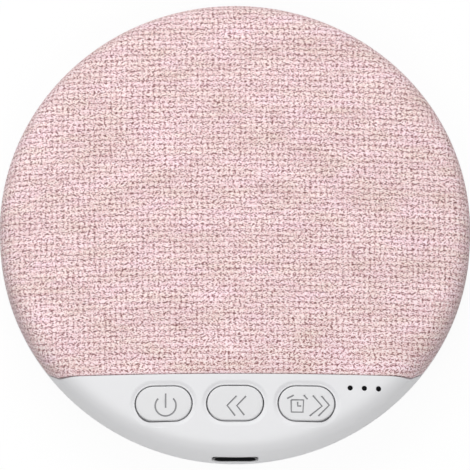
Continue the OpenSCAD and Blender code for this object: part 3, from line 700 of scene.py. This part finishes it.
def foamed(name, base):
    """Open foam: small cells, with painted shade that darkens their pits."""
    cell, pit_depth = 0.6 * MM, 0.2 * MM
    f = Finish(name)
    cells = f.node("TexVoronoi", {"Vector": f.place(), "Scale": 1 / cell})
    depth = cells.outputs["Distance"]
    # Painted shade: the colour darkens where the cells' bump is deepest.
    pits = f.span(depth, 0.1, 0.7)
    f.set(Base_Color=f.mix(pits, rgba(base, 0.5), rgba(base, 1.4)), Roughness=0.95)
    f.set(Normal=f.bump(depth, 0.5, pit_depth))
    return f.material


def laminate(name, base):
    """Circuit board: lacquer over paler tracks and the laminate's fine glass weave."""
    runs, threads = 900.0, 3000.0  # tracks and glass threads in a metre
    track_height = 0.03 * MM
    f = Finish(name)
    place = f.place()
    bricks = {"Vector": f.stretched(place, (runs, runs, 0.0)), "Scale": 1.0,
              "Mortar Size": 0.06, "Color1": WHITE, "Color2": WHITE, "Mortar": (0, 0, 0, 1)}
    tracks = f.node("TexBrick", bricks).outputs["Fac"]
    weave = f.span(f.noise(place, threads, detail=1.0), 0.3, 0.7)
    lacquer = f.mix(weave, rgba(base, 0.85), rgba(base, 1.1))
    f.set(Base_Color=f.mix(tracks, lacquer, rgba(base, 1.8)), Roughness=0.32)
    f.set(Normal=f.bump(tracks, 0.3, track_height))
    return f.material


def wound(name, base):
    """Fine wire wound in turns one over another, with painted shade in the grooves between the
    turns.
    """
    density, wire_depth = 1600.0, 0.1 * MM
    f = Finish(name)
    waves = {"Vector": f.place(), "Scale": density, "Distortion": 0.3}
    turns = f.node("TexWave", waves, bands_direction="Z").outputs["Fac"]
    # Painted shade: the colour darkens in the grooves between the turns, where the bump is low.
    f.set(Base_Color=f.mix(turns, rgba(base, 0.4), rgba(base, 1.2)), Metallic=1.0, Roughness=0.3)
    f.set(Normal=f.bump(turns, 0.4, wire_depth))
    return f.material


class Weave:
    """How the layers of the cloth's pattern are set."""

    strays = 800.0  # strayings of a yarn in a metre
    crossing = 0.5  # rise of a yarn over the one that it crosses
    upright, lying = 0.5, 0.55  # mean height of the upright and the lying yarns
    twist = (-38, 0.50 * MM, 0.22 * MM)  # twisted fibres: turn in degrees, length, thickness
    loose = (28, 0.36 * MM, 0.24 * MM)  # loose fibres that lie across them
    slubs = (420, 1300, 0)  # thick places of the lying yarns, in a metre
    streaks = (130, 420, 0)  # warmer and cooler streaks of the melange
    patches = (75, 190, 0)  # paler and darker patches of the melange
    # The bumps and rows give the yarns' height, so their share paints highlight on raised yarns and
    # shade in the pits; twist, loose fibres and slubs are the yarn's own tone.
    shade = {"bumps": 0.40, "twist": 2.5, "loose": 2.0, "rows": 0.07, "slubs": 0.42}
    shade_start = 2.05  # sum of the shades at which the scale of yarn colours begins
    dark, middle, light = 0.30, 0.60, 0.84  # places of the yarn colours on that scale
    streak_range, patch_range = (0.3, 0.7), (0.36, 0.68)  # noise that runs from tint to tint
    streak_tints = (1.005, 0.955, 0.99, 1), (1.0, 1.005, 0.945, 1)
    patch_tints = (1.05, 1.05, 1.075, 1), (0.90, 0.875, 0.845, 1)
    bump_height, fibre_height = 0.7, 0.4  # share of the yarns and of their fibres in the relief
    relief, relief_depth = 0.5, 0.18 * MM


def woven(name):
    """Melange cloth: a plain weave of twisted yarn, with a painted highlight on the bumps and
    painted shade in the pits.
    """
    s, c = sizes(), colours()
    f = Finish(name)
    flat = f.node("UVMap", uv_map="cloth").outputs[0]
    metres = f.vector("MULTIPLY", {0: flat, 1: (CLOTH_TILE,) * 3})
    stray = f.node("TexNoise", {"Vector": metres, "Scale": Weave.strays, "Detail": 2.0})
    stray = f.vector("SUBTRACT", {0: stray.outputs["Color"], 1: (0.5, 0.5, 0.5)})
    stray = f.vector("SCALE", {0: stray, "Scale": s.stray})
    bent = f.vector("ADD", {0: metres, 1: stray})

    place = f.node("SeparateXYZ", {0: bent}).outputs
    upright = f.math("SINE", f.math("MULTIPLY", place[0], math.pi / s.pitch))
    lying = f.math("SINE", f.math("MULTIPLY", place[1], math.pi / s.row))
    columns, rows = f.math("ABSOLUTE", upright), f.math("ABSOLUTE", lying)
    over = f.math("MULTIPLY", f.math("MULTIPLY", upright, lying), Weave.crossing)
    upright = f.math("MULTIPLY", columns, f.math("ADD", Weave.upright, over))
    lying = f.math("MULTIPLY", rows, f.math("SUBTRACT", Weave.lying, over))
    bumps = f.math("MAXIMUM", upright, lying)

    def fibres(turn, along, across):
        return f.noise(f.stretched(bent, (1 / along, 1 / across, 0), turn), rough=0.6)

    twist, loose = fibres(*Weave.twist), fibres(*Weave.loose)
    layers = {"bumps": bumps, "twist": twist, "loose": loose, "rows": rows,
              "slubs": f.noise(f.stretched(metres, Weave.slubs))}
    level = f.total(*((layers[key], weight) for key, weight in Weave.shade.items()))
    # The colour scale runs from painted pit shade and dark fibres up to painted highlight and pale
    # fibres.
    ramp = f.node("ValToRGB", {0: f.math("SUBTRACT", level, Weave.shade_start)})
    stops = ramp.color_ramp.elements
    stops[0].position, stops[0].color = Weave.dark, rgba(c.yarn_dark_and_pit_shade)
    stops[1].position, stops[1].color = Weave.light, rgba(c.yarn_pale_and_highlight)
    stops.new(Weave.middle).color = rgba(c.yarn_mid)

    streaks = f.noise(f.stretched(metres, Weave.streaks), detail=3.0)
    warm = f.mix(f.span(streaks, *Weave.streak_range), *Weave.streak_tints)
    yarn = f.mix(1.0, ramp.outputs[0], warm, "MULTIPLY")
    patches = f.noise(f.stretched(metres, Weave.patches), detail=5.0, rough=0.68)
    tone = f.mix(f.span(patches, *Weave.patch_range), *Weave.patch_tints)
    f.set(Base_Color=f.mix(1.0, yarn, tone, "MULTIPLY"))
    fuzz = f.math("ADD", twist, loose)
    height = f.total((bumps, Weave.bump_height), (fuzz, Weave.fibre_height))
    f.set(Normal=f.bump(height, Weave.relief, Weave.relief_depth), Roughness=0.9)
    f.set(Sheen_Weight=0.15, Sheen_Roughness=0.5, Specular_IOR_Level=0.2)
    return f.material


def finishes():
    """One finish for each of the part's material slots, the charging port and the signs."""
    c = colours()
    makers = {
        moulded: {  # colour, roughness, relief, mottling, specular level
            "housing_plastic": (c.housing, 0.42, 0.05, 0.012),
            "button_plastic": (c.button, 0.40, 0.05, 0.012),
            "sign_ink": (c.sign, 0.6),
            "smoked_plastic": ((0.004, 0.004, 0.005), 0.5, 0.02, 0.03, 0.05),
            "dark_plastic": ((0.045, 0.045, 0.05), 0.55),
            "plunger_plastic": ((0.35, 0.04, 0.03), 0.4),
            "diode_plastic": ((0.82, 0.8, 0.7), 0.2, 0.02),
            "chip_plastic": ((0.03, 0.03, 0.035), 0.6, 0.12),
            "connector_plastic": ((0.8, 0.77, 0.66), 0.45),
            "red_insulation": ((0.5, 0.02, 0.02), 0.4),
            "black_insulation": ((0.02, 0.02, 0.02), 0.4),
            "surround_rubber": ((0.02, 0.02, 0.022), 0.7),
            "cone_plastic": ((0.06, 0.06, 0.065), 0.5),
        },
        metal: {  # colour, roughness, stretch of the lines, relief
            "steel": ((0.58, 0.58, 0.59), 0.3),
            "contact_metal": ((0.78, 0.58, 0.24), 0.22),
            "cell_foil": ((0.62, 0.63, 0.65), 0.35, (400.0,) * 3, 0.25),
            "magnet": ((0.3, 0.3, 0.31), 0.4, (900.0,) * 3, 0.15),
            # Near-black steel of the charging port: painted shade inside the port's opening.
            "port_steel": ((0.07, 0.07, 0.075), 0.35),
        },
        foamed: {"foam": ((0.05, 0.05, 0.055),)},
        laminate: {"board_laminate": ((0.02, 0.16, 0.07),)},
        wound: {"coil_wire": ((0.55, 0.22, 0.08),)},
        woven: {"woven_fabric": ()},
    }
    return {slot: make(slot, *values) for make, slots in makers.items()
            for slot, values in slots.items()}


made_finishes = {}


def finish_of(slot):
    """The finish of a slot; all of them are made on first use."""
    if not made_finishes:
        made_finishes.update(finishes())
    return made_finishes[slot]


# ---------------------------------------------------------------- places of the controls


def indicator_places():
    """Middles of the three indicator holes in plan."""
    s = sizes()
    return [(s.hole_x + k * s.hole_pitch, -s.hole_row) for k in (-1, 0, 1)]


def opening_size():
    """Length and width of a button's opening, with its lip."""
    s = sizes()
    grow = 2 * (s.button_gap + s.button_lip)
    return s.button_length + grow, s.button_width + grow


def button_place(name):
    """Middle of a button in plan."""
    low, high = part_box(name + "_button")
    return (low.x + high.x) / 2, -sizes().button_row


def button_points(name):
    """Points of a button's solid."""
    return [v.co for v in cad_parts[name + "_button"].data.vertices]


def flange_top(name):
    """Height of the top of a button's flange: the upper side of its solid's widest level."""
    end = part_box(name + "_button")[1].x
    return max(p.z for p in button_points(name) if p.x > end - LEVEL)


# ---------------------------------------------------------------- operators


class SPEAKER_OT_stage(bpy.types.Operator):
    """Set up the camera, the pale floor and the soft studio light"""

    bl_idname = "speaker.stage"
    bl_label = "Stage"

    tilt: angle("Tilt", "Camera's turn from straight above", math.radians(17.5))
    roll: angle("Roll", "Camera's roll", math.radians(-0.03))
    distance: length("Distance", "Camera's distance from the speaker", 4.0)
    span: length("Span", "Width that the picture takes in", 95.0 * MM)
    aim: length("Aim", "Height at which the camera aims", 6.1 * MM)
    floor_reach: length("Floor reach", "Distance of the floor's edges from the middle", 2.0)
    floor_gap: length("Floor gap", "Gap between the speaker and the floor", 0.05 * MM)
    floor_glow: amount("Floor glow", "Share of plain white in the floor that is seen", 0.92)
    sky: amount("Sky", "Strength of the light from all round", 0.36)
    box: amount("Soft box", "Power of the soft box in watts", 3.05)
    box_place: spot("Soft box place", "Place of the soft box", (-0.09, 0.50, 0.47))
    front: amount("Front box", "Power of the front soft box in watts", 2.25)
    front_place: spot("Front box place", "Place of the front soft box", (-0.02, -0.45, 0.50))
    lamp_length: length("Lamp length", "Length of a soft box", 0.7)
    lamp_width: length("Lamp width", "Width of a soft box", 0.5)

    def execute(self, context):
        scene = context.scene
        scene.view_settings.view_transform = "Standard"
        lens = bpy.data.cameras.new("camera")
        lens.sensor_width = 36.0
        lens.lens = lens.sensor_width * self.distance / self.span
        lens.clip_start, lens.clip_end = 0.01, 20.0
        scene.camera = linked("camera", lens)
        turn = Matrix.Rotation(self.tilt, 4, "X") @ Matrix.Rotation(self.roll, 4, "Z")
        scene.camera.matrix_world = (Matrix.Translation((0, 0, self.aim)) @ turn
                                     @ Matrix.Translation((0, 0, self.distance)))

        bm = bmesh.new()
        bmesh.ops.create_grid(bm, x_segments=8, y_segments=8, size=self.floor_reach)
        bmesh.ops.translate(bm, verts=bm.verts[:], vec=(0, 0, -self.floor_gap))
        floor = as_object("floor", bm, self.floor_finish())

        self.lamp("soft_box", self.box, self.box_place)
        self.lamp("front_box", self.front, self.front_place)
        self.light_room(scene)
        return {"FINISHED"}

    def lamp(self, name, power, place):
        """A soft lamp that points at the speaker."""
        lamp = bpy.data.lights.new(name, "AREA")
        lamp.shape, lamp.size, lamp.size_y = "RECTANGLE", self.lamp_length, self.lamp_width
        lamp.energy = power
        light = linked(name, lamp)
        light.location = place
        light.rotation_euler = (-light.location).to_track_quat("-Z", "Y").to_euler()

    def floor_finish(self):
        """Grey paint that looks white and still takes the speaker's shadow."""
        f = Finish("floor")
        base, clouds, mottle = colours().floor, 8.0, 0.02
        paint = f.mix(f.noise(f.place(), clouds), rgba(base, 1 - mottle), rgba(base, 1 + mottle))
        seen = f.seen()
        f.set(Base_Color=f.mix(seen, paint, WHITE), Roughness=0.9)
        glow = f.node("Emission", {"Color": WHITE, "Strength": 1.0})
        share = f.math("MULTIPLY", seen, self.floor_glow)
        f.blend_shaders(share, f.shader, glow, "Material Output")
        return f.material

    def light_room(self, scene):
        """White surroundings that light the speaker with the sky's strength."""
        scene.world = bpy.data.worlds.new("room")
        scene.world.use_nodes = True
        room = Nodes(scene.world.node_tree)
        sky = room.tree.nodes["Background"]
        room.put(WHITE, sky.inputs["Color"])
        room.put(self.sky, sky.inputs["Strength"])
        white = room.node("Background", {"Color": WHITE, "Strength": 1.0})
        room.blend_shaders(room.seen(), sky, white, "World Output")


class SPEAKER_OT_finish(bpy.types.Operator):
    """Give every solid of the assembly its finish"""

    bl_idname = "speaker.finish"
    bl_label = "Finishes"

    def execute(self, context):
        for name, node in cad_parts.items():
            slot = node.data.materials[0].name.split(".")[0]
            # The port's shell takes near-black steel as painted shade in its opening.
            material = finish_of("port_steel" if name == "usb_shell" else slot)
            for k in range(len(node.data.materials)):
                node.data.materials[k] = material
        return {"FINISHED"}


class SPEAKER_OT_cover(bpy.types.Operator):
    """Stretch the woven cover over the front"""

    bl_idname = "speaker.cover"
    bl_label = "Cover"

    def execute(self, context):
        s, front = sizes(), Front()
        low = s.cover_hem + s.cloth_fold
        bm = bmesh.new()
        front.trace(bm, 0.0, low, crown_steps=26)
        bmesh.ops.spin(bm, geom=everything(bm), cent=(0, 0, 0), axis=UP, angle=2 * math.pi,
                       steps=216, use_merge=True)
        merge(bm, SLACK)
        for point, out in cover_planes(-s.cloth_fold):
            cut(bm, everything(bm), point, out, clear=True)
        merge(bm, SLIVER)
        layer = bm.verts.layers.float_vector.new("flat")
        for v in bm.verts:
            v[layer] = front.flat(v.co)
        carry_edge(bm, open_edges(bm), round_over(s.cloth_fold, s.cloth_return), front.normal,
                   lambda point: -UP if point.z < low + SLACK else Vector((0, -1, 0)), layer)
        bmesh.ops.recalc_face_normals(bm, faces=bm.faces[:])
        if max(bm.faces, key=lambda f: f.calc_center_median().z).normal.z < 0:
            bmesh.ops.reverse_faces(bm, faces=bm.faces[:])
        uv = bm.loops.layers.uv.new("cloth")
        for f in bm.faces:
            for loop in f.loops:
                place = loop.vert[layer]
                loop[uv].uv = (place.x / CLOTH_TILE + 0.5, place.y / CLOTH_TILE + 0.5)
        outer = sum(f.calc_area() for f in bm.faces)
        bm.verts.layers.float_vector.remove(layer)
        cover = as_object("cover_cloth", bm, finish_of("woven_fabric"))
        thick = cover.modifiers.new("cloth", "SOLIDIFY")
        thick.thickness, thick.offset = s.cloth, -1.0
        settle(cover)
        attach(cover, "case")
        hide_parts("fabric_cover")
        return {"FINISHED"}


# Points on the skin of the control segment
SEGMENT_START = 20 * MM  # radius from which the skin is spun
SEGMENT_TURN = math.radians(58)  # its turn to each side of the middle plane
CONTROL_AREA = (-36 * MM, -46 * MM), (36 * MM, -32 * MM)  # corners of the grid on the crown
CONTROL_GRID = 1.8 * MM
CROWN_MARGIN = 0.8 * MM  # room between that grid and the rounded edge
EDGE_ROWS = 9  # rows of points on the upper half of the rounded edge
EDGE_STEP, EDGE_STEPS = 0.011, 84  # turn between a row's points, and their number to each side
EDGE_ROOM = 0.24 * MM  # room round each of them
PORT_PATCH = 6.6 * MM  # half the width of the wall that is filled again round the port
PORT_AREA = (-5.4 * MM, 4 * MM), (5.4 * MM, 9 * MM)  # corners of the grid on it
FINE_GRID = 0.9 * MM


class SPEAKER_OT_housing(bpy.types.Operator):
    """Mould the control segment with its openings"""

    bl_idname = "speaker.housing"
    bl_label = "Control housing"

    def execute(self, context):
        s, front = sizes(), Front()
        planes = cover_planes(s.seam + s.housing_edge)
        low = s.parting + s.housing_edge
        bm = bmesh.new()
        front.trace(bm, SEGMENT_START, low, crown_steps=12)
        bmesh.ops.spin(bm, geom=everything(bm), cent=(0, 0, 0), axis=UP, angle=2 * SEGMENT_TURN,
                       steps=64)
        bmesh.ops.rotate(bm, verts=bm.verts[:], cent=(0, 0, 0),
                         matrix=Matrix.Rotation(-math.pi / 2 - SEGMENT_TURN, 3, "Z"))
        self.leave_segment(bm, planes)
        pills, holes = self.open_controls(bm, front, planes)
        port = self.open_port(bm, front)

        bmesh.ops.recalc_face_normals(bm, faces=bm.faces[:])
        skin = bm.faces[:]
        openings = {e for group in (*pills, *holes, port) for e in group}
        outer = [e for e in open_edges(bm) if e not in openings]
        ends = carry_edge(bm, outer, round_over(s.housing_edge, s.wall), front.normal,
                          lambda point: -UP if point.z < low + SLACK else Vector((0, 1, 0)))
        deck = flange_top("back") + s.flange_play
        wide = opening_size()[1]

        def lip(point):
            upper = 0.5 + (point.y + s.button_row) / wide
            return dished(s.button_lip, s.button_dip - s.button_sink * (1 - upper), s.wall)

        for group in pills:
            walls = carry_edge(bm, group, lip, front.normal, inward(group))
            for v in walls.values():
                v.co.z = deck
            ends.update(walls)
        hole_path = round_over(s.hole_edge, s.hole_edge, steps=3, sink=s.wall)
        port_path = round_over(s.port_edge, s.wall, steps=3)
        for group, path in (*((group, hole_path) for group in holes), (port, port_path)):
            ends.update(carry_edge(bm, group, path, front.normal, inward(group)))
        close_back(bm, skin, ends, lambda place: place - front.normal(place) * s.wall)

        housing = as_object("control_housing", bm, finish_of("housing_plastic"))
        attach(housing, "case")
        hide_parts("front_housing")
        return {"FINISHED"}

    @staticmethod
    def leave_segment(bm, planes):
        """Cut the cover's area out of the skin, and leave the segment below it."""
        inside = bm.faces[:]
        for k, (point, out) in enumerate(planes, 1):
            cut(bm, of_faces(inside), point, out)
            inside = [f for f in bm.faces
                      if all((f.calc_center_median() - p).dot(n) < 0 for p, n in planes[:k])]
        bmesh.ops.delete(bm, geom=inside, context="FACES")
        merge(bm, SLIVER)

    @staticmethod
    def open_controls(bm, front, planes):
        """Open the skin for the buttons and the indicators, and give their outlines."""
        s = sizes()
        long, wide = opening_size()
        hole = s.hole + 2 * s.hole_edge
        centres = [button_place(name) for name in BUTTONS]
        dots = indicator_places()
        limit = front.edge_r + front.edge * math.sin(front.lean + front.turn / 2) + SLACK

        def facing_up(f):
            return all(math.hypot(v.co.x, v.co.y) < limit and v.co.z > front.edge_z
                       for v in f.verts)

        def inside(u, v):
            point = front.over(u, v)
            return (math.hypot(u, v) < limit and any((point - p).dot(n) > 0 for p, n in planes)
                    and not any(in_pill(u - x, v - y, long, wide) for x, y in centres)
                    and not any(math.hypot(u - x, v - y) < hole / 2 for x, y in dots))

        spots = [place for place in grid_spots(*CONTROL_AREA, CONTROL_GRID)
                 if math.hypot(*place[:2]) < front.meet - CROWN_MARGIN]
        turns = [k * EDGE_STEP for k in range(-EDGE_STEPS, EDGE_STEPS + 1)]
        for k in range(EDGE_ROWS):
            lean = front.lean + front.turn * k / (2 * EDGE_ROWS)
            reach = front.edge_r + front.edge * math.sin(lean)
            spots += [(reach * math.sin(a), -reach * math.cos(a), EDGE_ROOM) for a in turns]

        pills = [pill(bm, long, wide, front.about(x, y)) for x, y in centres]
        holes = [ring(bm, hole, front.about(x, y)) for x, y in dots]
        open_again(bm, [f for f in bm.faces if facing_up(f)],
                   [e for group in pills + holes for e in group],
                   lambda p: (p.x, p.y), front.over, inside, spots)
        return pills, holes

    @staticmethod
    def open_port(bm, front):
        """Open the upright wall for the charging port, and give its outline."""
        s = sizes()
        grow = 2 * s.port_edge
        low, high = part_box("usb_shell")
        level = (low.z + high.z) / 2

        def on_wall(u, v):
            return Vector((u, -math.sqrt(s.body_radius ** 2 - u * u), v))

        def beside(u, v):
            return not in_pill(u, v - level, s.port_length, s.port_height, s.port_corner)

        port = pill(bm, s.port_length + grow, s.port_height + grow,
                    lambda u, v: on_wall(u, level + v), steps=6,
                    corner=s.port_corner + s.port_edge)
        near = [f for f in bm.faces
                if all(abs(v.co.x) < PORT_PATCH and v.co.z < front.edge_z + SLACK
                       for v in f.verts)]
        open_again(bm, near, port, lambda p: (p.x, p.z), on_wall, beside,
                   grid_spots(*PORT_AREA, FINE_GRID))
        return port


class SPEAKER_OT_ring(bpy.types.Operator):
    """Keep the housing's ring wall, baffle and screw bosses behind the control segment"""

    bl_idname = "speaker.ring"
    bl_label = "Ring wall and baffle"

    def execute(self, context):
        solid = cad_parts["front_housing"].data.copy()
        solid.attributes.remove(solid.attributes["custom_normal"])
        bm = bmesh.new()
        bm.from_mesh(solid)
        bpy.data.meshes.remove(solid)
        merge(bm)
        cut(bm, everything(bm), (0, -sizes().ring_edge, 0), (0, -1, 0), clear=True)
        bmesh.ops.triangle_fill(bm, use_beauty=True, edges=open_edges(bm))
        ring_wall = as_object("housing_ring", bm, finish_of("housing_plastic"), sharp=SOLID_SHARP)
        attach(ring_wall, "case")
        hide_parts("front_housing")
        return {"FINISHED"}


class SPEAKER_OT_guides(bpy.types.Operator):
    """Set the three dark light guides in their holes"""

    bl_idname = "speaker.guides"
    bl_label = "Light guides"

    def execute(self, context):
        s, front = sizes(), Front()
        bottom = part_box("indicator_lens")[0].z
        bm = bmesh.new()
        for x, y in indicator_places():
            top = front.height(x, y) - s.guide_sunk
            verts = rod(bm, s.hole - 2 * s.guide_fit, bottom, top, (x, y), segments=24)
            rim = {v for v in verts if v.co.z > top - SLACK}
            for v in rim:
                v.co.z += front.height(v.co.x, v.co.y) - front.height(x, y)
            edges = [e for e in bm.edges if set(e.verts) <= rim]
            bmesh.ops.bevel(bm, geom=edges, offset=s.hole_edge, offset_type="OFFSET",
                            affect="EDGES", segments=2, profile=0.5, material=-1)
        guides = as_object("light_guides", bm, finish_of("smoked_plastic"))
        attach(guides, "case")
        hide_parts("indicator_lens")
        return {"FINISHED"}


def power_sign():
    """An upright bar in a ring that is open at the top."""
    x, y, radius, steps = 0.42, -0.5, 2.1, 28
    start = math.radians(46)
    turns = [start + (2 * math.pi - 2 * start) * k / steps for k in range(steps + 1)]
    return [[(x, 2.0), (x, -0.95)],
            [(x + radius * math.sin(a), y + radius * math.cos(a)) for a in turns]]


# Lines of each sign, in mm from the button's middle
SIGNS = {
    "power": power_sign(),
    "back": [  # two chevrons that point left
        [(0.3, 1.4), (-1.6, -0.55), (0.0, -2.65)],
        [(2.2, 1.35), (0.35, -0.6), (1.85, -2.55)],
    ],
    "timer": [  # a table clock with its bells and hands, and two chevrons that point right
        [(-3.1, 0.65), (-0.6, 0.65), (-0.75, -1.85), (-3.1, -1.85), (-3.1, 0.65)],
        [(-3.9, 0.9), (-2.6, 1.6)],
        [(-0.55, 1.6), (0.2, 0.8)],
        [(-1.8, 0.25), (-1.8, -0.6), (-1.1, -0.6)],
        [(1.25, 1.6), (3.1, -0.55), (0.6, -2.6)],
        [(3.0, 1.5), (4.55, -0.35), (2.35, -2.6)],
    ],
}


class SPEAKER_OT_buttons(bpy.types.Operator):
    """Make the three push buttons with their engraved signs"""

    bl_idname = "speaker.buttons"
    bl_label = "Buttons"

    def execute(self, context):
        for name in BUTTONS:
            self.button(name)
        return {"FINISHED"}

    def button(self, name):
        """One button: its face, rounded edge, retaining flange and post, with its sign."""
        s, front = sizes(), Front()
        x, y = button_place(name)
        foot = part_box(name + "_button")[0].z
        flange = flange_top(name)
        under = flange - s.flange
        shrink = 2 * s.button_edge
        long, wide = s.button_length - shrink, s.button_width - shrink
        half = Vector((s.button_length, s.button_width)) / 2

        def place(u, v):
            upper = 0.5 + (v - y) / s.button_width
            return front.over(u, v, s.button_proud - s.button_sink * upper)

        bm = bmesh.new()
        outline = pill(bm, long, wide, lambda u, v: place(x + u, y + v))
        fill(bm, outline, lambda p: (p.x, p.y), place,
             lambda u, v: in_pill(u - x, v - y, long, wide),
             grid_spots((x - half.x, y - half.y), (x + half.x, y + half.y), FINE_GRID))
        skin = bm.faces[:]
        drop = front.height(x, y) + s.button_proud - flange - s.button_edge
        reach = s.button_edge + s.flange_lip
        path = round_over(s.button_edge, s.button_edge, sink=drop)
        path += [(reach, s.button_edge, drop), (reach, s.button_edge, drop + s.flange)]
        middle = place(x, y)
        ends = carry_edge(bm, open_edges(bm), path, front.normal, lambda point: point - middle)
        lowest = set(ends.values())
        for v in lowest:
            for e in v.link_edges:
                if e.other_vert(v) not in lowest:
                    e.other_vert(v).co.z = flange
            v.co.z = under
        close_back(bm, skin, ends, lambda p: Vector((p.x, p.y, under)))
        rod(bm, s.post, foot, flange - s.flange / 2, (x, self.post_row(name, foot)), segments=32)
        cap = as_object(name + "_cap", bm, finish_of("button_plastic"), finish_of("sign_ink"))
        carve(cap, self.sign(name, x, y, place))
        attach(cap, name)
        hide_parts(name + "_button")

    @staticmethod
    def post_row(name, foot):
        """Distance of a button's post from the middle, from the solid's points at its foot."""
        rows = [p.y for p in button_points(name) if p.z < foot + LEVEL]
        return (min(rows) + max(rows)) / 2

    @staticmethod
    def sign(name, x, y, place):
        """Lines of a button's sign as rods that lie half in its face."""
        curve = bpy.data.curves.new(name + "_sign", "CURVE")
        curve.dimensions = "3D"
        curve.bevel_depth = sizes().sign_line / 2
        curve.bevel_resolution = 2
        curve.use_fill_caps = True
        for points in SIGNS[name]:
            line = curve.splines.new("POLY")
            line.points.add(len(points) - 1)
            for knot, (u, v) in zip(line.points, points):
                knot.co = (*place(x + u * MM, y + v * MM), 1)
        drawn = linked(name + "_sign", curve)
        bpy.context.view_layer.update()
        depsgraph = bpy.context.evaluated_depsgraph_get()
        mesh = bpy.data.meshes.new_from_object(drawn.evaluated_get(depsgraph))
        bpy.data.objects.remove(drawn)
        mesh.materials.clear()
        mesh.materials.append(finish_of("sign_ink"))
        return linked(name + "_sign", mesh)


class SPEAKER_PT_panel(bpy.types.Panel):
    """Lists the speaker's operators, sizes and colours"""

    bl_label = "Pillow speaker"
    bl_idname = "SPEAKER_PT_panel"
    bl_space_type = "VIEW_3D"
    bl_region_type = "UI"
    bl_category = "Speaker"

    def draw(self, context):
        for operator in OPERATORS:
            self.layout.operator(operator.bl_idname)
        for group in (context.scene.speaker_sizes, context.scene.speaker_colours):
            box = self.layout.box()
            for name in type(group).__annotations__:
                box.prop(group, name)


OPERATORS = (SPEAKER_OT_stage, SPEAKER_OT_finish, SPEAKER_OT_cover, SPEAKER_OT_housing,
             SPEAKER_OT_ring, SPEAKER_OT_guides, SPEAKER_OT_buttons)
CLASSES = (SpeakerSizes, SpeakerColours, *OPERATORS, SPEAKER_PT_panel)


def register():
    for cls in CLASSES:
        bpy.utils.register_class(cls)
    bpy.types.Scene.speaker_sizes = PointerProperty(type=SpeakerSizes)
    bpy.types.Scene.speaker_colours = PointerProperty(type=SpeakerColours)


def unregister():
    del bpy.types.Scene.speaker_colours
    del bpy.types.Scene.speaker_sizes
    for cls in reversed(CLASSES):
        bpy.utils.unregister_class(cls)


def main():
    register()
    bpy.ops.speaker.stage()
    bpy.ops.speaker.finish()
    bpy.ops.speaker.cover()
    bpy.ops.speaker.housing()
    bpy.ops.speaker.ring()
    bpy.ops.speaker.guides()
    bpy.ops.speaker.buttons()


if __name__ == "__main__":
    main()
